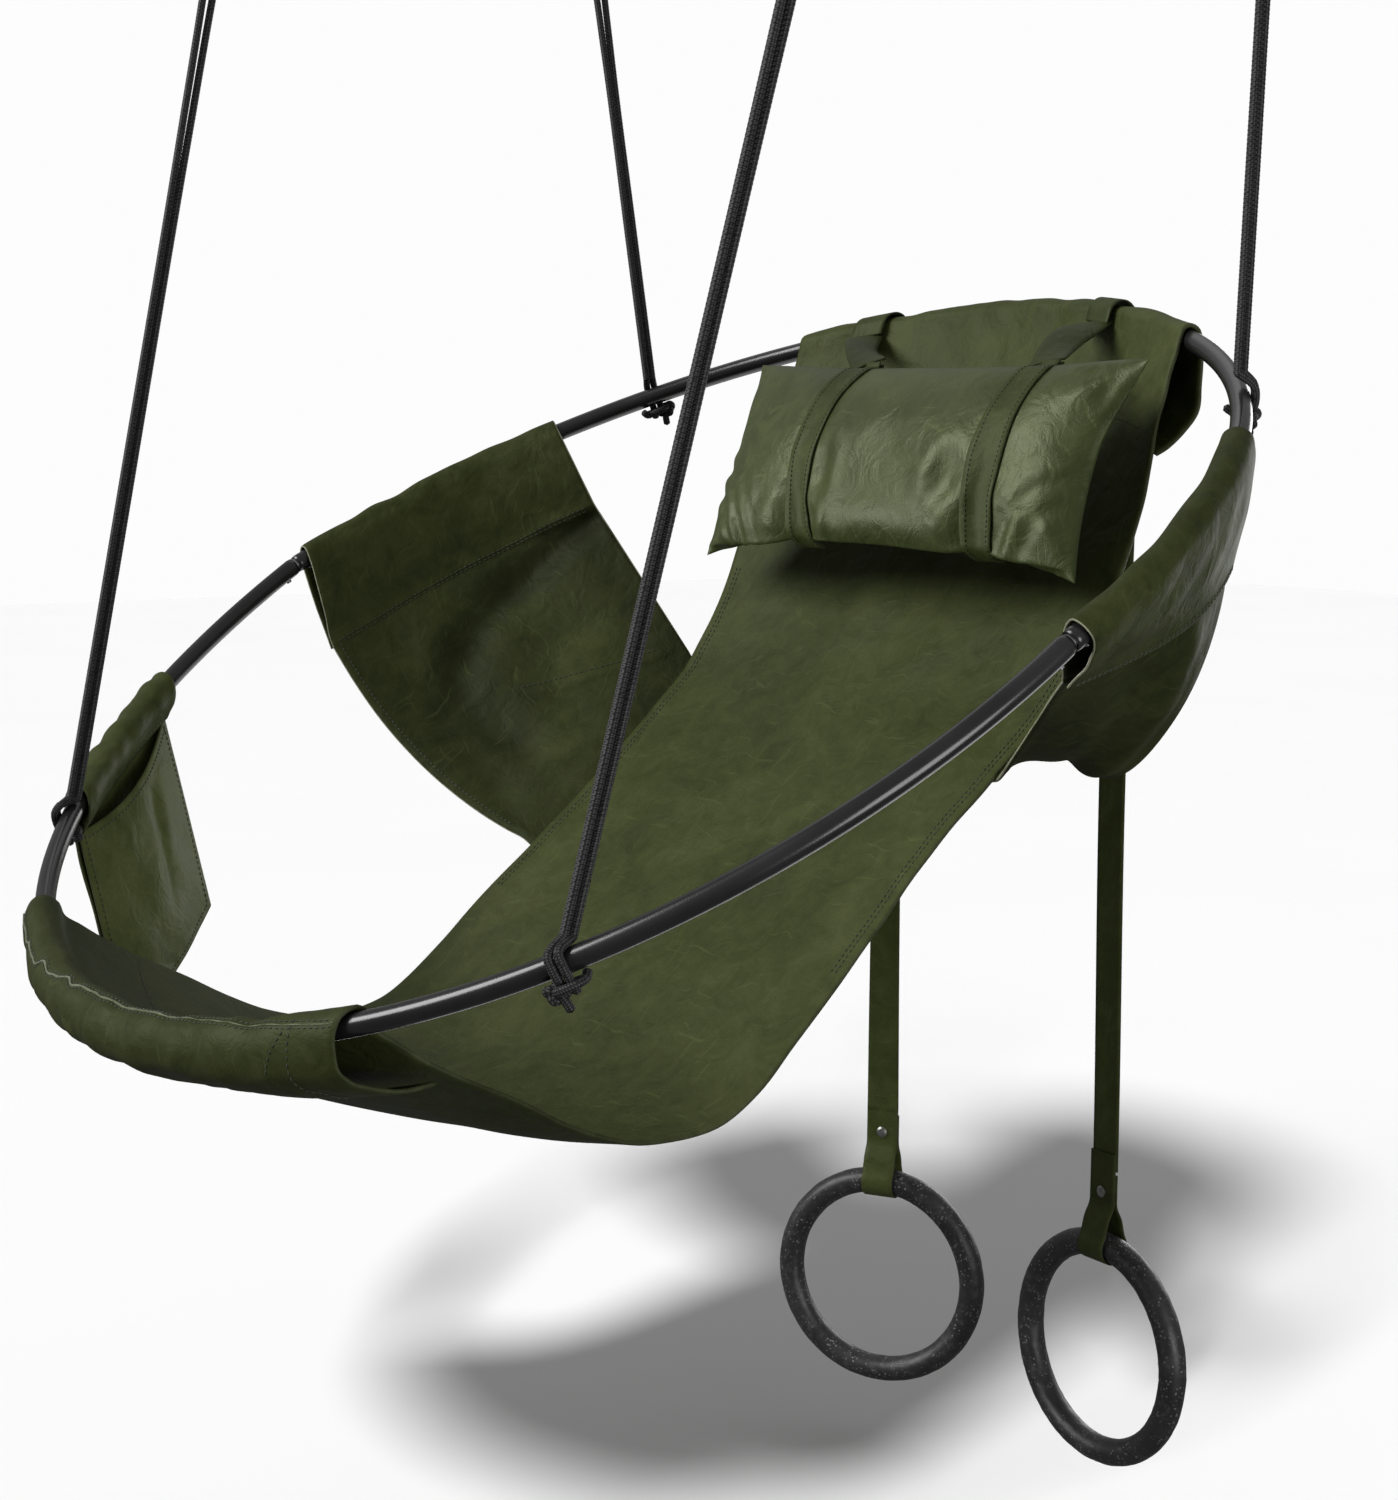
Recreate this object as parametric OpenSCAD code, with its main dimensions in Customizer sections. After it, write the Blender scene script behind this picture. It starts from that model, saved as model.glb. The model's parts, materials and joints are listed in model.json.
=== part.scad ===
// Hanging sling lounge chair: a leather sling in a round steel hoop that hangs
// on four doubled cords, with a sliding head pillow, two counterweight rings
// and a small side pocket. Millimetres, +Z up, the sitter faces -Y.
// The origin is the middle of the four ceiling studs, in the ceiling plane.

/* [Hoop] */
// Diameter of the hoop at the middle of its tube
hoop_d = 1260; // [1250:1:1270]
// Outer diameter of the hoop tube
tube_d = 20; // [19:0.5:21]
// Wall of the hoop tube
tube_wall = 1.5; // [1.2:0.1:2]
// Rise of the rear half of the hoop from level, in degrees
tilt_rear = 27.2; // [26.5:0.1:28]
// Fall of the front half of the hoop from level, in degrees
tilt_front = 34; // [33.5:0.1:34.5]

/* [Ropes] */
// Diameter of one cord, each rope is a cord laid double
cord_d = 8; // [7:0.5:8]
// Half the spacing of the ceiling eyes across the chair
eye_x = 520; // [515:1:525]
// Half the spacing of the ceiling eyes along the chair
eye_y = 233; // [230:1:236]

/* [Sling] */
// Width of the seat panel
seat_w = 600; // [590:1:602]
// Thickness of the leather, sewn double
leather = 4; // [3:0.5:4]

/* [Pillow] */
// Width of the head pillow
pillow_w = 590; // [560:5:590]
// Height of the head pillow
pillow_h = 226; // [210:2:230]
// Thickness of the head pillow
pillow_t = 112; // [80:2:114]

/* [Rings] */
// Outer diameter of a counterweight ring
ring_od = 262; // [250:1:266]
// Thickness of a ring
ring_t = 30; // [28:0.5:30]
// Width of the straps
strap_w = 38; // [32:1:39]

/* [Hidden] */
$fn = 48;
R = hoop_d / 2;
tr = tube_d / 2;
cr = cord_d / 2;
H = [0, -104, -815];            // middle of the hoop, between its two side joints
eye_z = -55;                    // middle of the eye wire that carries the rope
eye_r = 19; wire_r = 5; stud_r = 5; stud_l = 45;
knot_front = 46; knot_rear = 46.5;   // knots, degrees away from straight ahead and straight back
lift = 0.8; play = 3;           // room of the rear rope loops round their eyes
strap_x = [-208, 138];          // where the straps cross the hoop, right and left
band_x = [-100, 172];           // where the bands cross the pillow, right and left
ring_z = [-845, -838];          // ring centres below the hoop middle, right and left
ring_yaw = [27, -4];            // turn of the rings about their straps, degrees
rivet_up = 60;                  // rivet above the top of its ring
pocket_a = [201.5, 221.5];      // stretch of hoop that carries the pocket
wing_a = [1.4, 32.6];           // stretch of hoop that carries a wing, from the side
// Seat lines from head to foot, y and z from the hoop middle, at its edges and at its middle
edge_line = [[440, 140], [400, 30], [325, -95], [175, -230], [45, -345], [-45, -425], [-120, -455], [-220, -440], [-375, -355]];
mid_line = [[505, 175], [415, 30], [325, -95], [175, -235], [45, -350], [-50, -430], [-130, -465], [-250, -465], [-440, -410]];
// Half width of the seat at those places
half_line = [300, 302, 290, 284, 296, 302, 300, 300, 300];

function unit(v) = v / norm(v);
function clampi(i, n) = max(0, min(n - 1, i));
// smooth curve through points, at place i
function smooth_at(p, i) = let (n = len(p), k = min(floor(i), n - 2), t = i - k, a = p[clampi(k - 1, n)], b = p[k], c = p[k + 1], d = p[clampi(k + 2, n)])
    0.5 * (2 * b + (c - a) * t + (2 * a - 5 * b + 4 * c - d) * t * t + (3 * b - a - 3 * c + d) * t * t * t);
// curve from the first point to the last, drawn towards the one or two between them
function bent(p, t) = let (u = 1 - t) len(p) == 3 ? u * u * p[0] + 2 * t * u * p[1] + t * t * p[2]
    : u * u * u * p[0] + 3 * t * u * u * p[1] + 3 * t * t * u * p[2] + t * t * t * p[3];
prof = [for (i = [0:16]) smooth_at(edge_line, i / 2)];
profm = [for (i = [0:16]) smooth_at(mid_line, i / 2)];
half_w = [for (i = [0:16]) smooth_at(half_line, i / 2)];
function hoop(a) = let (t = sin(a) >= 0 ? tilt_rear : tilt_front) [R * cos(a), R * sin(a) * cos(t), R * sin(a) * sin(t)];
function tang(a) = unit(hoop(a + 0.5) - hoop(a - 0.5));
function grid_n(p, i, j) = let (n = len(p), m = len(p[0]),
    du = p[clampi(i + 1, n)][j] - p[clampi(i - 1, n)][j], dv = p[i][clampi(j + 1, m)] - p[i][clampi(j - 1, m)]) unit(cross(du, dv));

// A closed sheet on a grid of points, half thickness h or one value per point
module sheet(p, h) {
  n = len(p); m = len(p[0]);
  function hh(i, j) = is_list(h) ? h[i][j] : h;
  top = [for (i = [0:n - 1]) for (j = [0:m - 1]) p[i][j] + grid_n(p, i, j) * hh(i, j)];
  bot = [for (i = [0:n - 1]) for (j = [0:m - 1]) p[i][j] - grid_n(p, i, j) * hh(i, j)];
  k = n * m;
  f = [for (i = [0:n - 2]) for (j = [0:m - 2]) let (a = i * m + j, b = a + 1, c = a + m + 1, d = a + m)
        each [[a, b, c], [a, c, d], [k + a, k + c, k + b], [k + a, k + d, k + c]]];
  e = concat([for (j = [0:m - 2]) [j, j + 1]], [for (i = [0:n - 2]) [i * m + m - 1, i * m + 2 * m - 1]],
             [for (j = [m - 2:-1:0]) [(n - 1) * m + j + 1, (n - 1) * m + j]], [for (i = [n - 2:-1:0]) [(i + 1) * m, i * m]]);
  s = [for (q = e) each [[q[0], k + q[1], q[1]], [q[0], k + q[0], k + q[1]]]];
  polyhedron(points = concat(top, bot), faces = concat(f, s), convexity = 8);
}

// A round tube along points, ref is a direction that the path never follows
module cord_tube(p, r, ref, sides = 10) {
  n = len(p);
  function tg(i) = unit(p[clampi(i + 1, n)] - p[clampi(i - 1, n)]);
  ring = [for (i = [0:n - 1]) let (t = tg(i), u = unit(cross(t, ref)), w = cross(t, u))
      for (k = [0:sides - 1]) p[i] + r * (cos(360 * k / sides) * u + sin(360 * k / sides) * w)];
  side = [for (i = [0:n - 2]) for (k = [0:sides - 1]) let (a = i * sides + k, b = i * sides + (k + 1) % sides)
      each [[a, b, b + sides], [a, b + sides, a + sides]]];
  polyhedron(points = ring, faces = concat([[for (k = [sides - 1:-1:0]) k]], side, [[for (k = [0:sides - 1]) (n - 1) * sides + k]]), convexity = 4);
}

module along(v) { rotate([0, acos(v[2] / norm(v)), atan2(v[1], v[0])]) children(); }
module ring3(rm, r) { rotate_extrude() translate([rm, 0]) circle(r); }

// ---- ceiling eyes
module eye(sx, sy) {
  translate([sx * eye_x, sy * eye_y, 0]) {
    cylinder(r = stud_r, h = stud_l);
    translate([0, 0, -6]) cylinder(r = 16, h = 6);
    translate([0, 0, -16]) cylinder(r = 6, h = 12);
    translate([0, 0, eye_z + eye_r]) rotate([90, 0, 0]) ring3(eye_r, wire_r);
  }
}
module eye_front_right() { color("#2b2b2d") eye(-1, -1); }
module eye_front_left() { color("#2b2b2d") eye(1, -1); }
module eye_rear_right() { color("#2b2b2d") eye(-1, 1); }
module eye_rear_left() { color("#2b2b2d") eye(1, 1); }

// ---- ropes: one cord up from the knot, over the eye wire and down again
function knot_at(sx, sy) = H + hoop(sy < 0 ? 270 + sx * knot_front : 90 - sx * knot_rear);
function rope_route(sx, sy) = let (
    k = knot_at(sx, sy), c = [sx * eye_x, sy * eye_y, eye_z + (sy > 0 ? lift : 0)],
    d = unit(c - k), w = unit([0, d[1], d[2]]), e = [0, -w[2], w[1]],
    a = k + d * 20.2, rb = wire_r + cr + 0.6 + (sy > 0 ? play : 0))
    concat([a + e * (cr + 0.3)], [for (q = [0:22.5:180]) c + rb * (cos(q) * e + sin(q) * w)], [a - e * (cr + 0.3)]);
module rope(sx, sy) { cord_tube(rope_route(sx, sy), cr, [1, 0, 0]); }
module rope_front_right() { color("#1c1c1e") rope(-1, -1); }
module rope_front_left() { color("#1c1c1e") rope(1, -1); }
module rope_rear_right() { color("#1c1c1e") rope(-1, 1); }
module rope_rear_left() { color("#1c1c1e") rope(1, 1); }

// ---- knots: a double turn round the hoop tube and a stopper below it
module knot(sx, sy) {
  a = sy < 0 ? 270 + sx * knot_front : 90 - sx * knot_rear;
  translate(knot_at(sx, sy)) {
    along(tang(a)) for (s = [-1, 1]) translate([0, 0, s * (cr + 0.2)]) ring3(tr + 1.5 + cr, cr);
    o = unit([hoop(a)[0], hoop(a)[1], 0]);
    translate(o * 7 + [0, 0, -23]) sphere(r = 9.5);
    translate(o * 9 + [0, 0, -44]) cylinder(r = cr, h = 18);
  }
}
module knot_front_right() { color("#1c1c1e") knot(-1, -1); }
module knot_front_left() { color("#1c1c1e") knot(1, -1); }
module knot_rear_right() { color("#1c1c1e") knot(-1, 1); }
module knot_rear_left() { color("#1c1c1e") knot(1, 1); }

// ---- hoop: two bent tubes, joined at the sides by spigots and screws
screw_a = 1.6;                  // screws, degrees away from a side joint
module half_hoop(t, front) {
  translate(H) rotate([t, 0, 0]) difference() {
    rotate([0, 0, front ? 180.1 : 0.1]) rotate_extrude(angle = 179.8, $fn = 96) translate([R, 0]) difference() { circle(tr); circle(tr - tube_wall); }
    for (a = front ? [360 - screw_a, 180 + screw_a] : [screw_a, 180 - screw_a])
      translate([R * cos(a), R * sin(a), -tr - 2]) cylinder(r = 1.9, h = 8);
  }
}
module hoop_front() { color("#202022") half_hoop(tilt_front, true); }
module hoop_rear() { color("#202022") half_hoop(tilt_rear, false); }
module spigot(sx) {
  translate(H + [sx * R, 0, 0]) rotate([(tilt_rear + tilt_front) / 2 - 90, 0, 0]) {
    cylinder(r = 5.6, h = 56, center = true);
    cylinder(r = 7.6, h = 18, center = true);
  }
}
module spigot_right() { color("#a8a8aa") spigot(-1); }
module spigot_left() { color("#a8a8aa") spigot(1); }
module spigot_screws() {
  color("#8c8c8e") for (h = [[tilt_front, 360 - screw_a], [tilt_front, 180 + screw_a], [tilt_rear, screw_a], [tilt_rear, 180 - screw_a]])
    translate(H) rotate([h[0], 0, 0]) translate([R * cos(h[1]), R * sin(h[1]), 0]) {
      translate([0, 0, -tr - 0.3]) cylinder(r = 1.6, h = 2.6);
      translate([0, 0, -tr - 1.9]) cylinder(r = 3, h = 1.6);
    }
}

// ---- sling
NX = 12;
function seat_pt(i, j) = let (u = -1 + 2 * j / NX, w = half_w[i] * seat_w / 600,
    b = (sqrt(R * R - w * w * u * u) - sqrt(R * R - w * w)) / (R - sqrt(R * R - w * w)))
    H + [w * u, prof[i][0] + (profm[i][0] - prof[i][0]) * b, prof[i][1] + (profm[i][1] - prof[i][1]) * b];
module seat_panel() { color("#3b4a2a") sheet([for (i = [0:len(prof) - 1]) [for (j = [0:NX]) seat_pt(i, j)]], leather / 2); }
// a hem is a section, outward and downward from the tube, carried along a stretch of hoop
head_sec = [[-50, 98], [-41, 74], [-30, 45], [-18, 14], [-14, 0], [-10.5, -10], [0, -14.4], [10.5, -10], [14.4, 0], [15, 22], [15, 46], [11, 68], [-6, 88], [-30, 106], [-44, 112]];
foot_top = [[-78, 47], [-56, 33], [-36, 19], [-18, 6], [-12.6, -8], [0, -14.8], [12.5, -10], [19, 1], [21, 10], [20.6, 15]];
foot_under = [[19.5, 19.5, 2], [17, 27, 9], [5, 35, 13], [-20, 44, 13], [-50, 53, 8], [-74, 59, 0]];
wing_sec = [[-1.5, 98], [-8, 70], [-13, 36], [-14.4, 4], [-10.5, -10], [0, -14.4], [10.5, -10], [14.6, 2], [16, 26], [15, 52], [10, 78], [6, 98], [4.6, 110]];
function sec_pt(a, o, s) = H + hoop(a) + o * s[0] + [0, 0, -s[1]];
module head_hem() { color("#3b4a2a") sheet([for (s = head_sec) [for (a = [62:4:118]) sec_pt(a, [0, 1, 0], s)]], leather / 2 - 0.4); }
// under the tube the foot sleeve hangs looser towards its left end
function slack(a) = max(0, (R * cos(a) / 301.6 - 0.4) / 0.6);
function foot_pt(a, s) = sec_pt(a, [0, -1, 0], [s[0], s[1] + (len(s) > 2 ? s[2] * slack(a) : 0)]);
module foot_hem(sec) { sheet([for (s = sec) [for (a = [298.6:-4.4:241.4]) foot_pt(a, s)]], leather / 2 - 0.4); }
module foot_hem_top() { color("#3b4a2a") foot_hem(foot_top); }
module foot_hem_under() { color("#3b4a2a") foot_hem(foot_under); }
// a wing is sewn to the seat edge and closed round the hoop with a hem of its own.
// The two are not alike: right is taut at its rear edge, left hangs slack there
wing_rows = [[7, 4], [5, 3.75]];     // seat rows that a wing is sewn to, right and left, at its front and rear
// how a wing falls from the hoop, right and left, at its front and rear
wing_fall = [[[0.39, 0.1, -0.92], [0.62, 0.05, -0.78]], [[-0.71, 0.54, -0.44], [-0.1, 0, -1]]];
// points that the front and rear edges curve towards
wing_pull = [[[[-475, 55, -240]], [[-380, 315, -10]]], [[[425, 170, -90]], [[530, 305, -40], [330, 330, -290]]]];
function lerp(a, b, t) = a + (b - a) * t;
function wing_ang(k, s) = let (a = lerp(wing_a[0], wing_a[1], s)) k == 0 ? 180 - a : a;
function wing_d(k, s) = unit(lerp(unit(wing_fall[k][0]), unit(wing_fall[k][1]), s));
function wing_o(k, s) = let (o = unit(cross(tang(wing_ang(k, s)), wing_d(k, s)))) (k == 0 ? -o[0] : o[0]) > 0 ? o : -o;
function hem_pt(k, s, q) = hoop(wing_ang(k, s)) + wing_o(k, s) * q[0] + wing_d(k, s) * q[1];
module wing_hem(k) {
  sheet([for (i = [0:len(wing_sec) - 1]) [for (j = [0:8]) H + hem_pt(k, j / 8, wing_sec[k == 0 ? i : len(wing_sec) - 1 - i])]], leather / 2 - 0.4);
}
module wing_hem_right() { color("#3b4a2a") wing_hem(0); }
module wing_hem_left() { color("#3b4a2a") wing_hem(1); }
function edge_pt(k, s) = let (f = lerp(wing_rows[k][0], wing_rows[k][1], s), i = floor(f), t = f - i)
    [(k == 0 ? -1 : 1) * (lerp(half_w[i], half_w[i + 1], t) + 6), lerp(prof[i][0], prof[i + 1][0], t), lerp(prof[i][1], prof[i + 1][1], t)];
function wing_edge(k, e, t) = bent(concat([hem_pt(k, e, [0, 105])], wing_pull[k][e], [edge_pt(k, e)]), t);
function wing_pt(k, s, q) = let (t = q / 8)
    H + lerp(wing_edge(k, 0, t), wing_edge(k, 1, t), s)
    + (1 - t) * (hem_pt(k, s, [0, 105]) - lerp(hem_pt(k, 0, [0, 105]), hem_pt(k, 1, [0, 105]), s))
    + t * (edge_pt(k, s) - lerp(edge_pt(k, 0), edge_pt(k, 1), s));
module wing(k) { sheet([for (q = [0:8]) [for (j = [0:8]) wing_pt(k, (k == 0 ? 8 - j : j) / 8, q)]], leather / 2); }
module wing_right() { color("#3b4a2a") wing(0); }
module wing_left() { color("#3b4a2a") wing(1); }

// ---- pillow: its own plane leans with the back
back0 = H + [23, 470, 250]; bd = unit([0, -80, -220]); bn = unit([0, -220, 80]);
pillow_c = back0 + bd * 151 + bn * 62;
function pillow_half(x, s, inset) = 5 - inset + (pillow_t / 2 - 5) * pow(1 - pow(abs(x), 3.4), 0.6) * pow(1 - pow(abs(s), 2.4), 0.6);
module pillow_body(inset) {
  n = 10; m = 22;
  p = [for (i = [0:n]) let (s = -1 + 2 * i / n) [for (j = [0:m]) let (x = -1 + 2 * j / m)
        pillow_c + [x * (pillow_w / 2 - inset), 0, 0] + bd * s * (pillow_h / 2 - inset)]];
  h = [for (i = [0:n]) let (s = -1 + 2 * i / n) [for (j = [0:m]) let (x = -1 + 2 * j / m) pillow_half(x, s, inset)]];
  sheet(p, h);
}
module pillow_cover() { color("#3b4a2a") difference() { pillow_body(0); pillow_body(2); } }
module pillow_filling() { color("#d8d4c8") pillow_body(2.6); }
// a band round the pillow, open at the top where the strap leaves it
function band_s(g) = let (c = cos(g), q = sin(g)) [sign(c) * pow(abs(c), 0.75), q];
module band(k) {
  x0 = band_x[k]; xr = (x0 - 23) / (pillow_w / 2);
  p = [for (g = [98:-12.5:-264]) let (c = cos(g), q = -sin(g)) [for (e = [-1, 0, 1])
        [x0 + e * strap_w / 2, pillow_c[1], pillow_c[2]] + bd * q * (pillow_h / 2 + 4)
        + bn * sign(c) * (pow(abs(c), 1.0) * (pillow_t / 2 * pow(1 - pow(abs(xr), 3.4), 0.6) + 5))]];
  sheet(p, 1.1);
}
module pillow_band_right() { color("#344224") band(0); }
module pillow_band_left() { color("#344224") band(1); }
// front strap, from the pillow's top edge to the hoop
function top_a(k) = acos(strap_x[k] / R);
function cross_pt(k, s) = sec_pt(top_a(k), [0, 1, 0], s);
module strap_front(k) {
  a = [band_x[k], pillow_c[1], pillow_c[2]] - bd * (pillow_h / 2 + 14);
  b = cross_pt(k, [-23, 4]);
  sheet([for (t = [0:0.25:1]) [for (e = [-1, 0, 1]) lerp(a, b, t) + [e * strap_w / 2, 0, 0]]], 1.2);
}
module strap_front_right() { color("#344224") strap_front(0); }
module strap_front_left() { color("#344224") strap_front(1); }
bend_sec = [[-20.6, -2], [-17, -11.5], [-8, -18.5], [0, -20], [8, -18.5], [17, -11.5], [20.6, -2]];
module strap_bend(k) { sheet([for (s = bend_sec) [for (e = [-1, 0, 1]) let (a = acos((strap_x[k] + e * strap_w / 2) / R)) sec_pt(a, [0, 1, 0], s)]], 1.2); }
module strap_bend_right() { color("#344224") strap_bend(0); }
module strap_bend_left() { color("#344224") strap_bend(1); }
// rear strap, hanging from the bend to its end loop, turned to the ring
function hang(k) = let (c = cross_pt(k, [23.6, 0])) c;
function ring_c(k) = [hang(k)[0], hang(k)[1], H[2] + ring_z[k]];
function ring_top(k) = ring_c(k) + [0, 0, ring_od / 2 - ring_t / 2];
module strap_rear(k) {
  z0 = hang(k)[2] - 4; z1 = ring_top(k)[2] + rivet_up + 26;
  sheet([for (t = [0:0.1:1]) let (w = ring_yaw[k] * max(0, (t - 0.2) / 0.8)) [for (e = [-1, 0, 1])
      [hang(k)[0] + e * strap_w / 2 * cos(w), hang(k)[1] + e * strap_w / 2 * sin(w), lerp(z0, z1, t)]]], 1.2);
}
module strap_rear_right() { color("#344224") strap_rear(0); }
module strap_rear_left() { color("#344224") strap_rear(1); }
// end loop, folded round the ring and riveted to itself
loop_r = ring_t / 2 + 2.2;
module strap_end(k) {
  translate(ring_top(k)) rotate([0, 0, ring_yaw[k]]) rotate([90, 0, 90]) difference() {
    translate([0, 0, -strap_w / 2]) linear_extrude(strap_w) difference() {
      union() { circle(loop_r + 2.4); polygon([[-loop_r - 2, 6], [-3.2, rivet_up - 24], [-3.2, rivet_up + 22], [3.2, rivet_up + 22], [3.2, rivet_up - 24], [loop_r + 2, 6]]); }
      circle(loop_r);
      polygon([[-12, 8], [-0.6, rivet_up - 24], [0.6, rivet_up - 24], [12, 8]]);
    }
    translate([0, rivet_up, 0]) rotate([0, 90, 0]) cylinder(r = 2.2, h = 20, center = true);
  }
}
module strap_end_right() { color("#344224") strap_end(0); }
module strap_end_left() { color("#344224") strap_end(1); }
module rivet(k) {
  translate(ring_top(k) + [0, 0, rivet_up]) rotate([0, 0, ring_yaw[k]]) rotate([90, 0, 0]) {
    cylinder(r = 2, h = 7.4, center = true);
    for (s = [0, 1]) mirror([0, 0, s]) { translate([0, 0, 3.4]) cylinder(r = 6.5, h = 1); translate([0, 0, 4.4]) cylinder(r1 = 6.5, r2 = 4, h = 1.2); }
  }
}
module rivet_right() { color("#5a5a58") rivet(0); }
module rivet_left() { color("#5a5a58") rivet(1); }
module weight_ring(k) { translate(ring_c(k)) rotate([0, 0, ring_yaw[k]]) rotate([90, 0, 0]) rotate_extrude($fn = 96) translate([ring_od / 2 - ring_t / 2, 0]) circle(ring_t / 2); }
module ring_right() { color("#2a2a2b") weight_ring(0); }
module ring_left() { color("#2a2a2b") weight_ring(1); }

// ---- pocket, hung on the right front of the hoop
pk_in = let (m = hoop((pocket_a[0] + pocket_a[1]) / 2)) -unit([m[0], m[1], 0]);
pk_sec = [[-8, 27], [-14, 14], [-16.5, 0], [-11.5, -12], [0, -17], [11.5, -12], [16.5, 0], [14, 14], [8, 27]];
function pk_hoop(t) = let (a = lerp(pocket_a[0], pocket_a[1], t)) H + hoop(a);
module pocket_sleeve() { color("#3b4a2a") sheet([for (s = pk_sec) [for (k = [0:6]) pk_hoop(k / 6) + pk_in * s[0] + [0, 0, -s[1]]]], 1.2); }
// bottom edge of the pouch, below the hoop
pk_drop = [241, 242, 243, 243, 242, 241, 240];
pk_lean = 0.32;                 // how far the pouch leans in below its sleeve
function pk_pt(k, off, z) = pk_hoop(k / 6) + pk_in * (off + pk_lean * (z - 27)) + [0, 0, -z];
module pocket_back() { color("#3b4a2a") sheet([for (q = [0:6]) [for (k = [0:6]) pk_pt(k, -7 - 5 * q / 6, lerp(31, pk_drop[k], q / 6))]], 1.2); }
pk_lip = [32, 38, 42, 43, 42, 38, 32];
module pocket_front() {
  color("#3b4a2a") sheet([for (q = [0:6]) [for (k = [0:6]) let (b = sin(180 * k / 6))
    pk_pt(k, -3 - 5 * q / 6 + b * (22 - 8 * q / 6 + 12 * sin(30 * q)), lerp(pk_lip[k], pk_drop[k], q / 6))]], 1.2);
}

eye_front_right();
eye_front_left();
eye_rear_right();
eye_rear_left();
rope_front_right();
rope_front_left();
rope_rear_right();
rope_rear_left();
knot_front_right();
knot_front_left();
knot_rear_right();
knot_rear_left();
hoop_front();
hoop_rear();
spigot_right();
spigot_left();
spigot_screws();
seat_panel();
head_hem();
foot_hem_top();
foot_hem_under();
wing_right();
wing_left();
wing_hem_right();
wing_hem_left();
pillow_cover();
pillow_filling();
pillow_band_right();
pillow_band_left();
strap_front_right();
strap_front_left();
strap_bend_right();
strap_bend_left();
strap_rear_right();
strap_rear_left();
strap_end_right();
strap_end_left();
rivet_right();
rivet_left();
ring_right();
ring_left();
pocket_sleeve();
pocket_back();
pocket_front();
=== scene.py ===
import json
import math

import bpy
import bmesh
import numpy as np
from mathutils import Matrix, Vector
from mathutils.bvhtree import BVHTree

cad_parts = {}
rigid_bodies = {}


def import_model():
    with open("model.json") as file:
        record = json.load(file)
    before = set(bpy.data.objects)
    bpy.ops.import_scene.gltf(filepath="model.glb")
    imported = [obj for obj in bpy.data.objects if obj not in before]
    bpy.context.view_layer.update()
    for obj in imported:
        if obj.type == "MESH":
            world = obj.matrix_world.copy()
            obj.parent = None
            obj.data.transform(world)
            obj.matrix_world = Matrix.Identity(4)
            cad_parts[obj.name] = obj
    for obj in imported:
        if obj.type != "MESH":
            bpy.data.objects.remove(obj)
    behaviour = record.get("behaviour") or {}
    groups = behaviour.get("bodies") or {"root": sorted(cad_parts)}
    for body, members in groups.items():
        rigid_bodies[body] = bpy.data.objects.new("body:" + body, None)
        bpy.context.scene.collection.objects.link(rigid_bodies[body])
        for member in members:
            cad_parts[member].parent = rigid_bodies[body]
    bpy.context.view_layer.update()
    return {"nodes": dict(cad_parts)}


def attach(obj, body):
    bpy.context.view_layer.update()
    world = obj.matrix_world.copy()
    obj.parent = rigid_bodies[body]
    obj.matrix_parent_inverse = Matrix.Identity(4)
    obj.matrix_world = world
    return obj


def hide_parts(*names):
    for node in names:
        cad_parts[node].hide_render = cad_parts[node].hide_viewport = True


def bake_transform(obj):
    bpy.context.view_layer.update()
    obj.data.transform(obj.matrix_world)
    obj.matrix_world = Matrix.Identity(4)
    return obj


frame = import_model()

# ------------------------------------------------------------------ layout, in millimetres
R, TR, CR = 630.0, 10.0, 4.0
H = np.array([0.0, -104.0, -815.0])
TILT_REAR, TILT_FRONT = math.radians(27.2), math.radians(34.0)
EYE_X, EYE_Y, EYE_Z, LIFT, PLAY, WIRE_R = 520.0, 233.0, -55.0, 0.8, 3.0, 5.0
KNOT_FRONT, KNOT_REAR = 46.0, 46.5
STRAP_X, BAND_X = (-208.0, 138.0), (-100.0, 172.0)
RING_Z, RING_YAW, RIVET_UP = (-845.0, -838.0), (27.0, -4.0), 60.0
RING_OD, RING_T, STRAP_W = 262.0, 30.0, 38.0
WING_A = (1.4, 32.6)
POCKET_A = (201.5, 221.5)
EDGE_LINE = np.array([[440, 140], [400, 30], [325, -95], [175, -230], [45, -345], [-45, -425], [-120, -455], [-220, -440], [-375, -355]], float)
MID_LINE = np.array([[505, 175], [415, 30], [325, -95], [175, -235], [45, -350], [-50, -430], [-130, -465], [-250, -465], [-440, -410]], float)
HALF_LINE = np.array([300, 302, 290, 284, 296, 302, 300, 300, 300], float)
HEAD_SEC = [[-50, 98], [-41, 74], [-30, 45], [-18, 14], [-14, 0], [-10.5, -10], [0, -14.4], [10.5, -10], [14.4, 0], [15, 22], [15, 46], [11, 68], [-6, 88], [-30, 106], [-44, 112]]
FOOT_SEC = [[-78, 47, 0], [-56, 33, 0], [-36, 19, 0], [-18, 6, 0], [-12.6, -8, 0], [0, -14.8, 0], [12.5, -10, 0], [19, 1, 0], [21, 12, 1], [17, 27, 9], [5, 35, 13], [-20, 44, 13], [-50, 53, 8], [-74, 59, 0]]
WING_SEC = [[-1.5, 98], [-7, 70], [-11, 36], [-12.6, 4], [-9.2, -8.8], [0, -12.6], [9.2, -8.8], [12.8, 2], [13.8, 26], [13, 52], [9, 78], [6, 98], [4.6, 110]]
WING_ROWS = ((7, 4), (5, 3.75))
WING_FALL = np.array([[[0.39, 0.1, -0.92], [0.62, 0.05, -0.78]], [[-0.71, 0.54, -0.44], [-0.1, 0, -1]]], float)
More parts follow.
